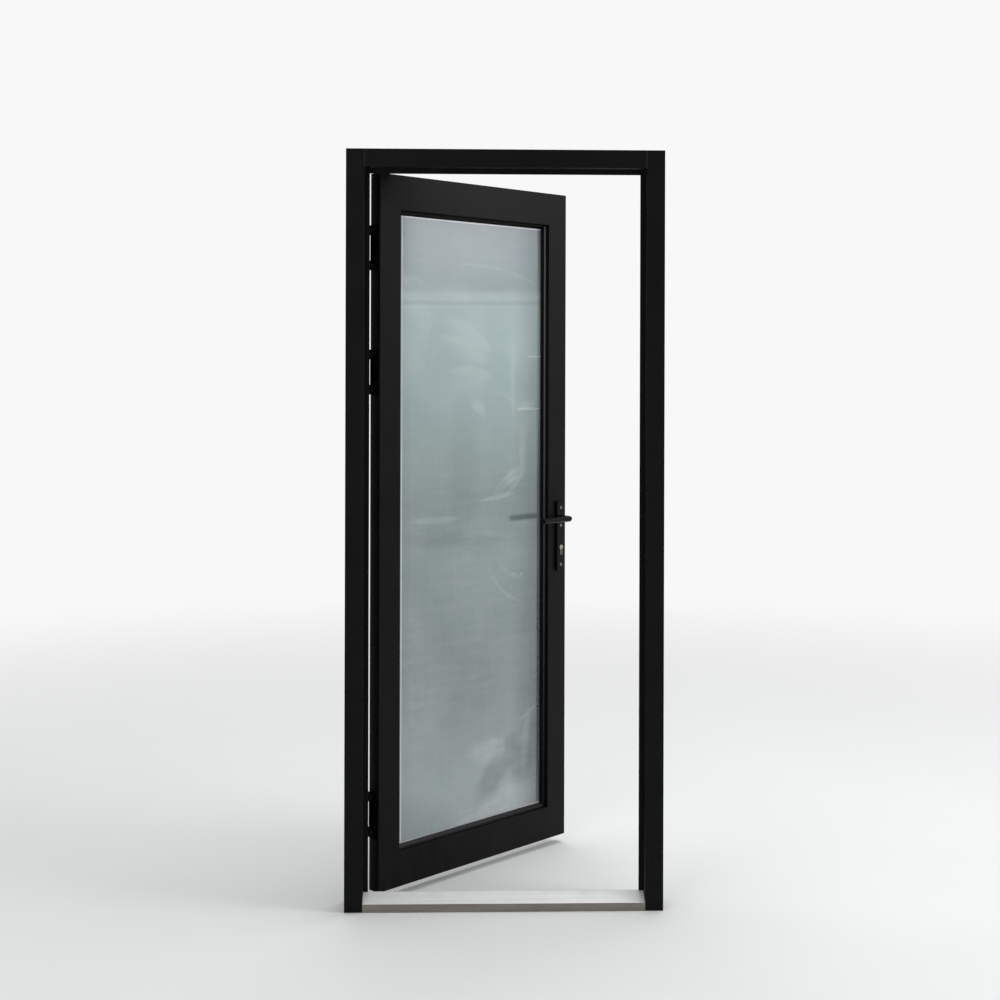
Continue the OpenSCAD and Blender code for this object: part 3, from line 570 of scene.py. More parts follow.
@dataclass(frozen=True)
class FrostedGlass(Finish):
    """Frosted glass under wiped dust, tinted, with painted light by height, painted shade by the
    lock side, and a pale painted highlight where it meets its gaskets.
    """

    # the glass's greenish tint, with painted light: lighter and darker bands by height for the
    # light that comes through and off the pane
    tint_and_light_by_height: tuple[tuple[float, tuple[float, float, float]], ...] = ()
    low: Vector = Vector((0.0, 0.0, 0.0))
    high: Vector = Vector((1.0, 1.0, 1.0))
    marks: tuple[Stroke | Swipe, ...] = ()
    clear_share: float = 0.55
    roughness: float = 0.15
    rim: float = 14.5 * MM
    side_rim: float = 23.4 * MM
    # the colour of clean glass, also used for painted shade
    clean_glass_and_shade: tuple[float, float, float] = (0.05, 0.06, 0.06)
    # the colour of dust, also used for painted reflection and painted light
    dust_and_reflection_colour: tuple[float, float, float] = (0.88, 0.93, 0.92)
    rim_light: tuple[float, float, float] = (0.98, 0.93, 1.00)
    bold_from: float = 0.4
    most_soft: float = 0.24
    most_darkening: float = 0.35

    def _make(self, graph: Graph) -> bpy.types.Material:
        """Builds the glass, its dust, its painted light and shade, and its marks."""
        where = graph.shut_place()
        x, _, z = graph.axes(where)
        level = (z - self.low.z) * (1.0 / (self.high.z - self.low.z))
        # painted light: the glass colour follows its height, standing in for the light that comes
        # through and off it
        tone = graph.node("ShaderNodeValToRGB", {"stops": self.tint_and_light_by_height}, {"Fac": level})
        cloud = graph.noise(where, 4.2, 4.0, 0.6)
        wipes = graph.noise(graph.stretch(where, (7.0, 1.0, 46.0)), 1.0, 4.0, 0.6)
        drips = graph.noise(graph.stretch(where, (52.0, 1.0, 3.5)), 1.0, 3.0, 0.6)
        broken = graph.noise(graph.stretch(where, (16.0, 1.0, 44.0)), 1.0, 5.0, 0.7)
        dust_and_reflection = cloud.rise(0.36, 0.68) * 0.08 + wipes.rise(0.36, 0.76) * 0.06
        dust_and_reflection = dust_and_reflection + drips.rise(0.40, 0.78) * 0.035
        worn = 0.55 + 0.45 * broken.rise(0.32, 0.64)
        # the positive marks: dust, the painted reflection near the top, and painted light low on
        # the hinge side
        marks = self._sum_of(graph, where, 0.0, self.bold_from).least(self.most_soft)
        dust_and_reflection = dust_and_reflection + (marks + self._sum_of(graph, where, self.bold_from, math.inf)) * worn
        # the negative marks: thinner dust, and painted shade low on the hinge side
        thin_film_and_shade = self._sum_of(graph, where, -math.inf, 0.0).least(self.most_darkening)
        tone = graph.blend(thin_film_and_shade, tone, self.clean_glass_and_shade)
        tone = graph.blend(dust_and_reflection.least(0.9), tone, self.dust_and_reflection_colour)
        # painted shade along the lock side, deeper lower down
        shade = (self.high.x - x).rise(0.15, 0.006) * (0.50 - 0.26 * level)
        tone = graph.blend(shade, tone, self.clean_glass_and_shade)
        # painted highlight: a pale line along the top, the bottom and the hinge side
        tone = graph.blend(self._rim(x, z) * 0.95, tone, self.rim_light)
        frost = graph.noise(where, 1500.0, 2.0, 0.5)
        return graph.surface(
            Base_Color=tone,
            Roughness=(self.roughness + dust_and_reflection * 0.25 + (cloud - 0.5) * 0.06).least(0.9),
            Transmission_Weight=self.clear_share,
            IOR=1.5,
            Normal=graph.bump(frost, 0.04, 0.0002),
        )

    def _sum_of(self, graph: Graph, where: Shade, least: float, below: float) -> Shade:
        """Sums the cover of the marks of one strength class.

        Args:
            graph: The material's nodes.
            where: Coordinates on the shut leaf.
            least: The class's lowest strength.
            below: The strength that the class stays below.

        Returns:
            The summed cover.
        """
        covers = [m.cover(graph, where) for m in self.marks if least <= m.strength < below]
        total = covers[0]
        for cover in covers[1:]:
            total = total + cover
        return total

    def _rim(self, x: Shade, z: Shade) -> Shade:
        """Returns the pale painted highlight along the top, the bottom and the hinge side."""
        ends = (z - self.low.z).least(self.high.z - z).rise(self.rim, self.rim - 1.5 * MM)
        side = x - self.low.x
        line = side.rise(self.side_rim - 3.0 * MM, self.side_rim - 1.5 * MM) * side.rise(
            self.side_rim + 2.5 * MM, self.side_rim + 1.0 * MM
        )
        return ends.most(line)


@dataclass(frozen=True)
class FloorPaint(Finish):
    """A pale, plain studio floor that fades into the backdrop away from the door."""

    colour: tuple[float, float, float] = (0.86, 0.86, 0.855)
    glow: float = 0.94
    fade_from: float = 0.9
    fade_to: float = 6.0

    def _make(self, graph: Graph) -> bpy.types.Material:
        """Builds the floor."""
        where = graph.place()
        cloud = graph.noise(where, 1.5)
        dark = tuple(c * 0.985 for c in self.colour)
        paint = graph.principled(
            Base_Color=graph.blend(cloud.rise(0.3, 0.7), dark, self.colour),
            Roughness=0.75,
            Specular_IOR_Level=0.2,
        )
        far = graph.node(
            "ShaderNodeEmission", None, {"Color": (1.0, 1.0, 1.0, 1.0), "Strength": self.glow}
        )
        away = graph.reach(where, (0.0, 0.0, 0.0), (1.0, 1.0, 0.0))
        share = away.rise(self.fade_from, self.fade_to)
        return graph.finish(graph.node("ShaderNodeMixShader", None, {0: share, 1: paint, 2: far}))


FRAME_COAT = PowderCoat("frame_powder_coat", colour=(0.0032, 0.0033, 0.0034), roughness=0.50,
                        gloss=0.10)
LEAF_COAT = PowderCoat("leaf_powder_coat", colour=(0.0034, 0.0035, 0.0037), roughness=0.42,
                       gloss=0.11, on_leaf=True)
BEAD_COAT = PowderCoat("bead_powder_coat", colour=(0.0022, 0.0022, 0.0027), roughness=0.34,
                       gloss=0.05, on_leaf=True)
HINGE_COAT = PowderCoat("hinge_black", colour=(0.0016, 0.0016, 0.0017), roughness=0.45,
                        gloss=0.05, dust=0.2)
HANDLE_COAT = PowderCoat("handle_black", colour=(0.0024, 0.0025, 0.0028), roughness=0.30,
                         gloss=0.13, peel=0.04, dust=0.15, on_leaf=True)
SCREW_BLACK = PowderCoat("screw_black", colour=(0.006, 0.006, 0.0062), roughness=0.35, gloss=0.4)
CLEAT_METAL = MillMetal("cleat_aluminium", colour=(0.62, 0.62, 0.62), grain=(500.0, 500.0, 4.0))
HANDLE_SCREW = MillMetal("dark_screw_steel", colour=(0.25, 0.25, 0.25), grain=(90.0, 90.0, 90.0),
                         roughness=0.28, dirt=0.3, stain=(0.05, 0.05, 0.05))
SCREW_STEEL = MillMetal("zinc_steel", colour=(0.62, 0.62, 0.60), grain=(90.0, 90.0, 90.0),
                        roughness=0.30, dirt=0.25)
LOCK_STEEL = MillMetal("lock_steel", colour=(0.56, 0.55, 0.53), grain=(600.0, 600.0, 6.0),
                       roughness=0.34, dirt=0.3)
BRASS = MillMetal("cylinder_brass", colour=(0.20, 0.155, 0.125), grain=(400.0, 400.0, 400.0),
                  roughness=0.32, dirt=0.35, stain=(0.06, 0.045, 0.035))
NICKEL = MillMetal("plug_nickel", colour=(0.54, 0.52, 0.49), grain=(400.0, 400.0, 400.0),
                   roughness=0.18, dirt=0.15)
SEAL_RUBBER = Rubber("seal_rubber")
GASKET_RUBBER = Rubber("gasket_rubber", colour=(0.010, 0.010, 0.010), bloom=0.03)
NYLON = Moulded("washer_nylon", colour=(0.035, 0.035, 0.035))
BLOCK_PLASTIC = Moulded("block_plastic", colour=(0.05, 0.05, 0.05))
FLOOR = FloorPaint("studio_floor")


# ---------------------------------------------------------------------------
# Shaping
# ---------------------------------------------------------------------------


def cad_copy(node: str) -> bmesh.types.BMesh:
    """Copies a CAD node's mesh and joins its loose triangles into faces.

    Args:
        node: The CAD node.

    Returns:
        The copy, at the place where the node stands.
    """
    shape = bmesh.new()
    shape.from_mesh(frame["nodes"][node].data)
    bmesh.ops.remove_doubles(shape, verts=shape.verts, dist=1e-6)
    bmesh.ops.dissolve_limit(
        shape, angle_limit=math.radians(0.5), verts=shape.verts, edges=shape.edges
    )
    return shape


def ease_edges(
    shape: bmesh.types.BMesh, width: float, segments: int = 2, least_length: float = 0.0
) -> None:
    """Rounds a shape's hard edges.

    Args:
        shape: The shape.
        width: How far each rounding reaches over its faces.
        segments: The faces across a rounding.
        least_length: Edges shorter than this stay sharp.
    """
    hard = [
        e
        for e in shape.edges
        if len(e.link_faces) == 2
        and e.calc_face_angle() > HARD_ANGLE
        and e.calc_length() >= least_length
    ]
    bmesh.ops.bevel(
        shape, geom=hard, offset=width, offset_type="OFFSET", affect="EDGES",
        segments=segments, profile=0.5, material=-1, clamp_overlap=True,
    )


@dataclass
class Workshop:
    """Turns finished shapes into pieces that ride on the door's bodies."""

    smooth_below: float = math.radians(50)
    made: list[str] = field(default_factory=list)

    def piece(
        self,
        name: str,
        shape: bmesh.types.BMesh,
        finish: Finish,
        body: Body,
        replaces: Iterable[str],
        slot: str,
        shut: bool = False,
    ) -> bpy.types.Object:
        """Makes a piece from a shape.

        Args:
            name: The piece's name.
            shape: Its shape, which is used up.
            finish: Its finish.
            body: The body that it rides on.
            replaces: The CAD nodes that it stands for.
            slot: The record's material slot; not used.
            shut: Whether the shape was drawn on the shut leaf.

        Returns:
            The finished object.
        """
        if shut:
            bmesh.ops.transform(shape, matrix=SWING.opened, verts=shape.verts)
        mesh = bpy.data.meshes.new(name)
        shape.to_mesh(mesh)
        shape.free()
        mesh.shade_smooth()
        mesh.set_sharp_from_angle(angle=self.smooth_below)
        mesh.materials.append(finish.material())
        made = bpy.data.objects.new(name, mesh)
        bpy.context.scene.collection.objects.link(made)
        even = made.modifiers.new("even_shading", "WEIGHTED_NORMAL")
        even.keep_sharp = True
        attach(made, body.value)
        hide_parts(*replaces)
        self.made.append(name)
        LOG.info("piece %s on %s, %d faces", name, body.value, len(mesh.polygons))
        return made

    def eased(
        self, node: str, finish: Finish, body: Body, slot: str, width: float,
        segments: int = 2, least_length: float = 0.0,
    ) -> bpy.types.Object:
        """Replaces a CAD node by a copy with eased edges.

        Args:
            node: The CAD node.
            finish: Its finish.
            body: The body that it rides on.
            slot: The record's material slot.
            width: The rounding's reach.
            segments: The faces across a rounding.
            least_length: Edges shorter than this stay sharp.

        Returns:
            The finished object.
        """
        shape = cad_copy(node)
        ease_edges(shape, width, segments, least_length)
        return self.piece(f"{node}_shell", shape, finish, body, [node], slot)

    def dress(self, node: str, finish: Finish) -> None:
        """Gives a CAD node that stays as it is its finish.

        Args:
            node: The CAD node.
            finish: Its finish.
        """
        mesh = frame["nodes"][node].data
        mesh.materials.clear()
        mesh.materials.append(finish.material())
        LOG.info("dressed %s in %s", node, finish.name)


# ---------------------------------------------------------------------------
# Sub-assemblies
# ---------------------------------------------------------------------------


@dataclass
class FrameSet:
    """The jambs, head, threshold, seals and strike plate."""

    shop: Workshop
    edge: float = 0.6 * MM
    sill_edge: float = 0.5 * MM

    def build(self) -> None:
        """Makes the frame's pieces."""
        end = max(v.co.x for v in frame["nodes"]["head"].data.vertices)
        coats = {"jamb_hinge_side": FRAME_COAT, "jamb_lock_side": FRAME_COAT,
                 "head": replace(FRAME_COAT, name="head_powder_coat", seam=end)}
        for node, coat in coats.items():
            self.shop.eased(node, coat, Body.FRAME, "frame_black", self.edge,
                            least_length=LONG_EDGE)
        points = [v.co for v in frame["nodes"]["threshold"].data.vertices]
        front = min(p.y for p in points)
        lip = max(p.z for p in points if p.y < front + MM)
        sill = DarkFrontSill("threshold_aluminium", colour=(0.92, 0.925, 0.915), bare=0.30,
                           dirt=0.12, roughness=0.52, stain=(0.24, 0.22, 0.19),
                           front=front, lip=lip)
        self.shop.eased("threshold", sill, Body.FRAME, "threshold_metal", self.sill_edge,
                        least_length=LONG_EDGE)
        for node in ("seal_hinge_jamb", "seal_lock_jamb", "seal_head", "seal_threshold"):
            self.shop.dress(node, SEAL_RUBBER)
        self.shop.eased("strike_plate", LOCK_STEEL, Body.FRAME, "lock_steel", 0.3 * MM)
        for node in ("frame_screws", "strike_screws"):
            self.shop.dress(node, SCREW_STEEL)


@dataclass
class LeafSet:
    """The leaf's stiles, rails and corner joints."""

    shop: Workshop
    edge: float = 0.5 * MM

    def build(self) -> None:
        """Makes the leaf's extrusions and dresses its hidden joints."""
        for node in ("stile_hinge_side", "stile_lock_side", "rail_top", "rail_bottom"):
            self.shop.eased(node, LEAF_COAT, Body.LEAF, "leaf_black", self.edge,
                            least_length=LONG_EDGE)
        self.shop.dress("corner_cleats", CLEAT_METAL)
        self.shop.dress("cleat_screws", SCREW_STEEL)


@dataclass
class Glazing:
    """The glass, its gaskets, beads and packers."""

    shop: Workshop
    arris: float = 0.6 * MM
    bead_edge: float = 0.5 * MM
    # the glass's tint with painted light by height: the bands stand in for the light that comes
    # through and off the pane
    tint_and_light_by_height: tuple[tuple[float, tuple[float, float, float]], ...] = (
        (0.00, (0.420, 0.490, 0.495)),
        (0.08, (0.418, 0.490, 0.496)),
        (0.21, (0.300, 0.360, 0.357)),
        (0.30, (0.295, 0.360, 0.356)),
        (0.38, (0.298, 0.368, 0.363)),
        (0.44, (0.328, 0.400, 0.396)),
        (0.54, (0.288, 0.360, 0.356)),
        (0.62, (0.388, 0.480, 0.476)),
        (0.70, (0.525, 0.645, 0.642)),
        (0.79, (0.610, 0.738, 0.738)),
        (0.86, (0.612, 0.735, 0.744)),
        (0.88, (0.510, 0.612, 0.628)),
        (0.92, (0.416, 0.500, 0.520)),
        (1.00, (0.346, 0.420, 0.444)),
    )
    marks: tuple[Stroke | Swipe, ...] = (
        # a painted reflection: the pale line across the whole width, the dark line under it, and
        # the paler marks below it
        Stroke((-0.70, 1.690), (0.72, 1.735), 0.020, 0.24, 0.7),
        Stroke((-0.70, 1.671), (0.72, 1.712), 0.009, -0.10, 0.6),
        Stroke((-0.31, 1.672), (-0.10, 1.677), 0.010, 0.26),
        Stroke((-0.29, 1.656), (-0.11, 1.648), 0.040, 0.14),
        Stroke((-0.196, 1.680), (-0.192, 1.575), 0.044, 0.22),
        Stroke((-0.30, 1.560), (-0.18, 1.552), 0.100, 0.12),
        Stroke((-0.30, 1.470), (-0.16, 1.462), 0.080, 0.08),
        # wipes in the upper half
        Stroke((-0.125, 1.650), (0.020, 1.598), 0.022, 0.24),
        Stroke((-0.030, 1.618), (0.085, 1.548), 0.022, 0.24),
        Stroke((-0.145, 1.594), (-0.005, 1.568), 0.017, 0.22),
        Stroke((-0.070, 1.588), (0.060, 1.518), 0.032, 0.20),
        Stroke((-0.090, 1.612), (0.080, 1.532), 0.090, 0.12),
        Stroke((-0.100, 1.490), (0.030, 1.493), 0.015, 0.20),
        Stroke((-0.020, 1.497), (0.090, 1.463), 0.020, 0.28),
        Stroke((-0.110, 1.472), (0.070, 1.438), 0.055, 0.14),
        Stroke((-0.210, 1.440), (-0.060, 1.400), 0.060, 0.08),
        Stroke((-0.004, 1.400), (0.046, 1.366), 0.026, 0.26, 0.7),
        Stroke((0.026, 1.396), (0.054, 1.348), 0.019, 0.24, 0.7),
        Stroke((0.172, 1.660), (0.173, 1.290), 0.009, 0.16),
        Stroke((0.190, 1.640), (0.235, 1.480), 0.085, 0.10),
        Stroke((0.222, 1.533), (0.315, 1.534), 0.0045, 0.60, 0.5),
        Stroke((0.182, 1.371), (0.320, 1.371), 0.0045, 0.60, 0.5),
        Stroke((0.198, 1.379), (0.270, 1.388), 0.019, 0.26),
        Stroke((-0.272, 1.764), (-0.262, 1.730), 0.008, 0.28),
        # lens of marks beside the lever
        Swipe((0.260, 0.985), 0.212, 0.010, 0.060, 0.240, 0.13),
        Swipe((0.075, 1.262), 0.165, 0.010, 0.070, 0.240, 0.13),
        Swipe((0.235, 1.010), 0.160, 0.012, 0.080, 0.235, 0.10),
        Stroke((0.030, 1.098), (0.182, 1.114), 0.009, 0.28),
        Stroke((0.213, 1.325), (0.214, 1.165), 0.020, 0.20),
        Stroke((0.130, 1.150), (0.235, 1.190), 0.036, 0.14),
        # a long thin arc near the top
        Swipe((0.000, 0.990), 0.816, 0.008, -0.080, 0.300, 0.12),
        Swipe((-0.250, 1.650), 0.105, 0.008, -0.300, -0.170, 0.16),
        # low down
        Stroke((-0.280, 1.053), (-0.040, 1.051), 0.014, 0.16),
        Stroke((-0.020, 0.345), (0.160, 0.326), 0.055, 0.24),
        Stroke((0.060, 0.352), (0.150, 0.348), 0.030, 0.16),
        Stroke((0.252, 0.480), (0.216, 0.225), 0.022, 0.16),
        Stroke((0.206, 0.408), (0.286, 0.449), 0.008, 0.30),
        Stroke((0.236, 0.422), (0.252, 0.424), 0.008, 0.30, 0.6),
        Stroke((0.168, 0.863), (0.182, 0.865), 0.005, 0.24, 0.6),
        Stroke((0.204, 0.860), (0.218, 0.862), 0.005, 0.24, 0.6),
        # painted light on the hinge side, low down
        Stroke((-0.260, 0.850), (-0.260, 0.250), 0.200, 0.17, 0.9),
        # the cloud in the lower corner
        Stroke((0.080, 0.095), (0.330, 0.150), 0.100, 0.22, 0.30),
        Stroke((0.105, 0.186), (0.225, 0.178), 0.048, 0.18, 0.30),
        Stroke((0.000, 0.110), (0.160, 0.155), 0.062, 0.20, 0.30),
        Stroke((-0.120, 0.085), (0.080, 0.130), 0.062, 0.24, 0.35),
        # where the dust is thinner and the glass looks darker; low on the hinge side, painted
        # shade
        Stroke((-0.190, 1.762), (0.300, 1.745), 0.044, -0.10, 0.9),
        Stroke((-0.034, 1.420), (-0.034, 0.980), 0.090, -0.08),
        # painted shade low on the hinge side
        Stroke((-0.420, 0.200), (-0.100, 0.150), 0.120, -0.08, 0.9),
        Stroke((-0.310, 1.008), (0.000, 0.987), 0.036, -0.14),
        Stroke((-0.100, 0.978), (0.140, 0.975), 0.028, -0.10),
        Stroke((0.200, 0.375), (0.020, 0.190), 0.060, -0.42),
        Stroke((0.225, 0.345), (0.195, 0.225), 0.070, -0.36),
        Stroke((0.275, 0.440), (0.262, 0.225), 0.040, -0.20),
    )

    def build(self) -> None:
        """Makes the glazing's pieces."""
        low, high = shut_box("glass_pane")
        glass = FrostedGlass("frosted_glass", tint_and_light_by_height=self.tint_and_light_by_height, low=low, high=high,
                             marks=self.marks)
        self.shop.eased("glass_pane", glass, Body.LEAF, "glass_frosted", self.arris)
        front = shut_box("bead_lock_side")[0].y
        # the lock-side bead gets a painted highlight on its front face
        front_highlight = replace(BEAD_COAT, name="bead_highlit_coat", front_highlight=0.80, highlight_until=front)
        # painted light: the bottom bead gets a paler, glossier copy of the bead coat, for the
        # light that falls on it from above
        lower = replace(BEAD_COAT, name="bead_lit_coat", colour=(0.0200, 0.0192, 0.0200),
                        gloss=0.30)
        coats = {"bead_top": BEAD_COAT, "bead_hinge_side": BEAD_COAT,
                 "bead_lock_side": front_highlight, "bead_bottom": lower}
        for node, coat in coats.items():
            self.shop.eased(node, coat, Body.LEAF, "bead_black", self.bead_edge)
        for node in ("gasket_near", "gasket_far"):
            self.shop.eased(node, GASKET_RUBBER, Body.LEAF, "gasket_rubber", 0.4 * MM)
        self.shop.dress("setting_blocks", BLOCK_PLASTIC)


@dataclass
class HingeSet:
    """The butt hinges with their pins, washers and screws."""

    shop: Workshop
    edge: float = 0.35 * MM
    places: tuple[str, ...] = ("low", "mid", "top")

    def build(self) -> None:
        """Makes each hinge."""
        for place in self.places:
            self.shop.eased(f"hinge_frame_plate_{place}", HINGE_COAT, Body.FRAME,
                            "hinge_black", self.edge)
            self.shop.eased(f"hinge_leaf_plate_{place}", HINGE_COAT, Body.LEAF,
                            "hinge_black", self.edge)
            self.shop.eased(f"hinge_pin_{place}", HINGE_COAT, Body.FRAME,
                            "hinge_black", self.edge)
        self.shop.dress("hinge_washers", NYLON)
        for node in ("hinge_frame_screws", "hinge_leaf_screws"):
            self.shop.dress(node, SCREW_BLACK)


@dataclass
class LockSet:
    """The mortice lock, its key cylinder and its faceplate."""

    shop: Workshop
    edge: float = 0.3 * MM

    def build(self) -> None:
        """Makes the lock's visible pieces and dresses the hidden ones."""
        for node in ("lock_faceplate", "lock_case", "lock_cover"):
            self.shop.eased(node, LOCK_STEEL, Body.LEAF, "lock_steel", self.edge)
        self.shop.eased("latch_bolt", LOCK_STEEL, Body.LATCH, "lock_steel", self.edge)
        self.shop.eased("dead_bolt", LOCK_STEEL, Body.BOLT, "lock_steel", self.edge)
        self.shop.eased("cylinder_body", BRASS, Body.LEAF, "cylinder_brass", self.edge)
        for node in ("cylinder_plug_near", "cylinder_plug_far"):
            self.shop.eased(node, NICKEL, Body.KEY, "plug_nickel", self.edge)
        for node in ("follower", "follower_spring", "spindle", "cylinder_cam"):
            self.shop.dress(node, LOCK_STEEL)
        for node in ("faceplate_screws", "cylinder_screw"):
            self.shop.dress(node, SCREW_STEEL)


@dataclass
class HandleSet:
    """The back plates and the two levers."""

    shop: Workshop
    plate_edge: float = 1.2 * MM
    neck_radius: float = 8.85 * MM
    bend_radius: float = 9.4 * MM
    flat_share: float = 0.86
    around: int = 40
    bend_steps: int = 12
    tip_ease: float = 2.2 * MM

    def build(self) -> None:
        """Makes the plates, the levers and dresses the screws."""
        for node in ("backplate_near", "backplate_far"):
            self.shop.eased(node, HANDLE_COAT, Body.LEAF, "handle_black", self.plate_edge,
                            segments=3)
        self.lever("lever_near", Side.NEAR)
        self.lever("lever_far", Side.FAR)
        self.shop.dress("handle_screws", HANDLE_SCREW)

    def lever(self, node: str, side: Side) -> None:
        """Sweeps a lever: a neck out from the plate, a bend, and a bar towards the hinges.

        Args:
            node: The CAD lever that it stands for.
            side: The face of the leaf that it is on.
        """
        low, high = shut_box(node)
        radius = (high.z - low.z) / 2
        axis_x = high.x - radius
        outer = low.y if side is Side.NEAR else high.y
        base = high.y if side is Side.NEAR else low.y
        out = side.value
        bar_y = outer - out * radius
        shape = bmesh.new()
        bmesh.ops.create_circle(
            shape, cap_ends=False, segments=self.around, radius=self.neck_radius,
            matrix=Matrix.Translation((axis_x, base, (low.z + high.z) / 2))
            @ Matrix.Rotation(math.radians(90), 4, "X"),
        )
        bmesh.ops.contextual_create(shape, geom=shape.edges[:])
        start = shape.faces[:]
        ring = self._push(shape, start, Vector((0, (bar_y - out * self.bend_radius) - base, 0)))
        corner = Vector((axis_x - self.bend_radius, bar_y - out * self.bend_radius, 0))
        spun = bmesh.ops.spin(
            shape, geom=ring, cent=corner, axis=(0, 0, 1), angle=out * math.radians(90),
            steps=self.bend_steps, use_merge=False, use_duplicate=False,
        )
        ring = [g for g in spun["geom_last"] if isinstance(g, bmesh.types.BMFace)]
        reach = (low.x + self.tip_ease) - (axis_x - self.bend_radius)
        ring = self._push(shape, ring, Vector((reach, 0, 0)))
        for turn in (30, 60, 90):
            last, now = math.radians(turn - 30), math.radians(turn)
            step = self.tip_ease * (math.sin(now) - math.sin(last))
            ring = self._push(shape, ring, Vector((-step, 0, 0)))
            shrink = 1 - self.tip_ease / radius * (1 - math.cos(now))
            before = 1 - self.tip_ease / radius * (1 - math.cos(last))
            centre = ring[0].calc_center_median()
            bmesh.ops.scale(
                shape, vec=(1, shrink / before, shrink / before),
                space=Matrix.Translation(-centre), verts=ring[0].verts[:],
            )
        middle = (low.z + high.z) / 2
        for v in shape.verts:
            over = (v.co.z - middle) / radius
            along = min(1.0, max(0.0, abs(v.co.y - base) / abs(bar_y - base)))
            if over > self.flat_share:
                level = self.flat_share + (over - self.flat_share) * 0.35
                v.co.z = middle + radius * (over + (level - over) * along)
        bmesh.ops.recalc_face_normals(shape, faces=shape.faces)
        self.shop.piece(f"{node}_swept", shape, HANDLE_COAT, Body.LEVER, [node],
                        "handle_black", shut=True)

    @staticmethod
    def _push(
        shape: bmesh.types.BMesh, faces: Sequence[bmesh.types.BMFace], by: Vector
    ) -> list[bmesh.types.BMFace]:
        """Extrudes the end face of a sweep; the face that it grew from stays inside.

        Args:
            shape: The sweep.
            faces: Its end face, in a list.
            by: How far the new end moves.

        Returns:
            The new end face, in a list.
        """
        grown = bmesh.ops.extrude_face_region(shape, geom=list(faces))
        verts = [g for g in grown["geom"] if isinstance(g, bmesh.types.BMVert)]
        bmesh.ops.translate(shape, vec=by, verts=verts)
        return [g for g in grown["geom"] if isinstance(g, bmesh.types.BMFace)]


# ---------------------------------------------------------------------------
# Studio
# ---------------------------------------------------------------------------


@dataclass(frozen=True)
class AreaLight:
    """A soft rectangular light."""

    name: str
    place: tuple[float, float, float]
    aim: tuple[float, float, float]
    size: tuple[float, float]
    power: float
    colour: tuple[float, float, float] = (1.0, 1.0, 1.0)

    def hang(self) -> None:
        """Puts the light in the scene."""
        lamp = bpy.data.lights.new(self.name, "AREA")
        lamp.shape = "RECTANGLE"
        lamp.size, lamp.size_y = self.size
        lamp.energy = self.power
        lamp.color = self.colour
        holder = bpy.data.objects.new(self.name, lamp)
        holder.location = self.place
        way = Vector(self.aim) - Vector(self.place)
        holder.rotation_euler = way.to_track_quat("-Z", "Y").to_euler()
        bpy.context.scene.collection.objects.link(holder)


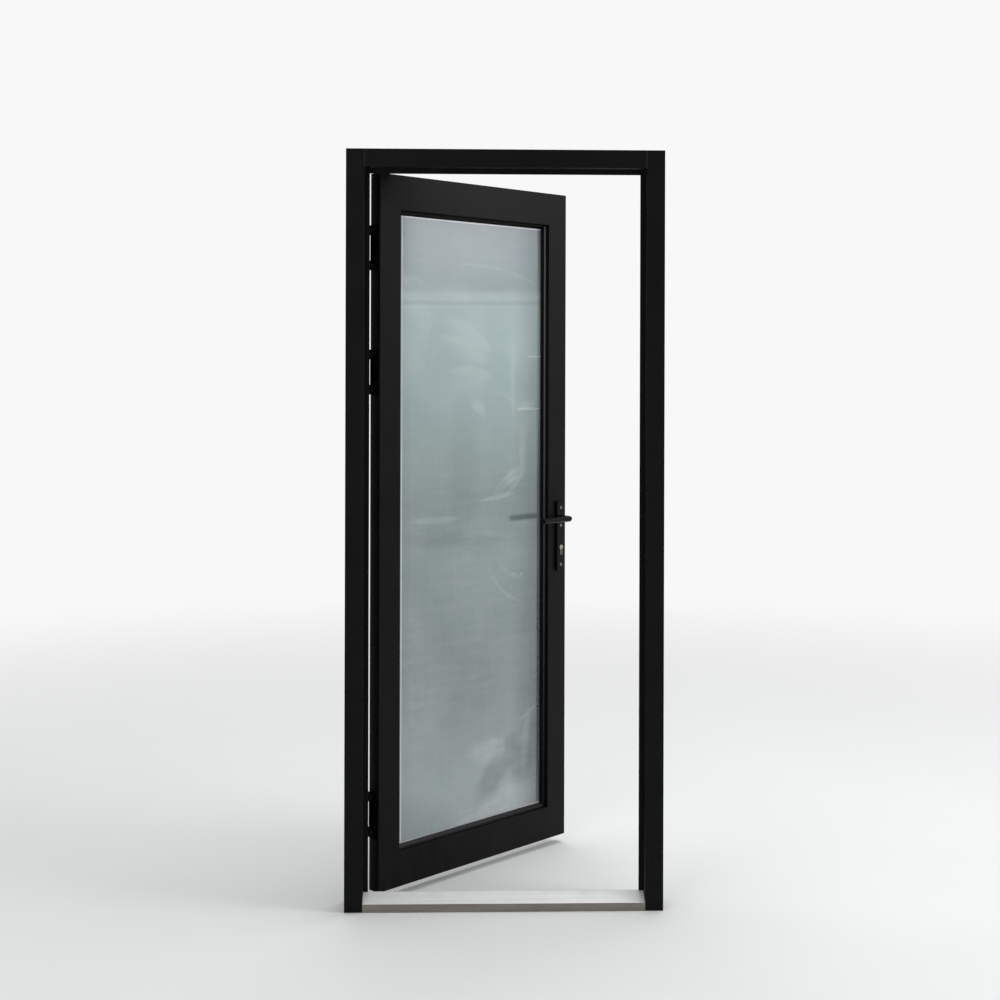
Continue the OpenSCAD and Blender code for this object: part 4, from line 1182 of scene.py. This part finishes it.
@dataclass
class Studio:
    """The floor, the light and the camera."""

    floor_reach: float = 30.0
    floor_drop: float = 0.0005
    eye: tuple[float, float, float] = (-0.1245, -4.144, 1.499)
    turn: float = math.radians(1.53)
    roll: float = math.radians(0.16)
    focal: float = 53.54
    sensor: float = 36.0
    drop: float = -0.1325
    backdrop: float = 0.94
    ambient: float = 0.42
    lights: tuple[AreaLight, ...] = (
        AreaLight("right_softbox", (4.2, -0.6, 3.4), (0.1, 0.3, 1.3), (2.4, 3.0), 90.0),
        AreaLight("top_softbox", (0.4, 1.2, 5.6), (0.0, 0.2, 0.0), (4.0, 3.0), 150.0),
        AreaLight("front_softbox", (-2.8, -4.6, 3.6), (0.0, 0.0, 1.0), (2.4, 2.4), 40.0),
    )

    def build(self) -> None:
        """Lays the floor, hangs the lights and sets the camera."""
        self._floor()
        for light in self.lights:
            light.hang()
        self._world()
        self._camera()

    def _floor(self) -> None:
        """Lays the floor just under the frame."""
        shape = bmesh.new()
        bmesh.ops.create_grid(
            shape, x_segments=1, y_segments=1, size=self.floor_reach,
            matrix=Matrix.Translation((0, 0, -self.floor_drop)),
        )
        mesh = bpy.data.meshes.new("studio_floor")
        shape.to_mesh(mesh)
        shape.free()
        mesh.materials.append(FLOOR.material())
        floor = bpy.data.objects.new("studio_floor", mesh)
        bpy.context.scene.collection.objects.link(floor)

    def _world(self) -> None:
        """Sets a pale backdrop and a dimmer, even light from all round."""
        world = bpy.data.worlds.new("studio")
        world.use_nodes = True
        tree = world.node_tree
        tree.nodes.clear()
        path = tree.nodes.new("ShaderNodeLightPath")
        seen, lit = (tree.nodes.new("ShaderNodeBackground") for _ in range(2))
        seen.inputs["Color"].default_value = (1.0, 1.0, 1.0, 1.0)
        seen.inputs["Strength"].default_value = self.backdrop
        lit.inputs["Color"].default_value = (0.96, 0.99, 1.0, 1.0)
        lit.inputs["Strength"].default_value = self.ambient
        mix = tree.nodes.new("ShaderNodeMixShader")
        out = tree.nodes.new("ShaderNodeOutputWorld")
        tree.links.new(path.outputs["Is Camera Ray"], mix.inputs[0])
        tree.links.new(lit.outputs[0], mix.inputs[1])
        tree.links.new(seen.outputs[0], mix.inputs[2])
        tree.links.new(mix.outputs[0], out.inputs["Surface"])
        bpy.context.scene.world = world

    def _camera(self) -> None:
        """Sets the camera at a standing person's height, looking straight ahead."""
        data = bpy.data.cameras.new("camera")
        data.sensor_width = self.sensor
        data.lens = self.focal
        data.shift_y = self.drop
        data.clip_end = 100.0
        camera = bpy.data.objects.new("camera", data)
        camera.matrix_world = (
            Matrix.Translation(self.eye)
            @ Matrix.Rotation(-self.turn, 4, "Z")
            @ Matrix.Rotation(math.radians(90), 4, "X")
            @ Matrix.Rotation(self.roll, 4, "Z")
        )
        bpy.context.scene.collection.objects.link(camera)
        bpy.context.scene.camera = camera


def write_sizes() -> None:
    """Updates the view layer.
    """
    bpy.context.view_layer.update()


def main() -> None:
    """Builds the door set's looks and the studio round it."""
    logging.basicConfig(level=logging.INFO, format="%(name)s: %(message)s")
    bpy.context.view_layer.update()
    bpy.context.scene.view_settings.view_transform = "Standard"
    shop = Workshop()
    for part in (FrameSet(shop), LeafSet(shop), Glazing(shop), HingeSet(shop), LockSet(shop),
                 HandleSet(shop)):
        part.build()
    Studio().build()
    LOG.info("%d new pieces", len(shop.made))
    write_sizes()


if __name__ == "__main__":
    main()
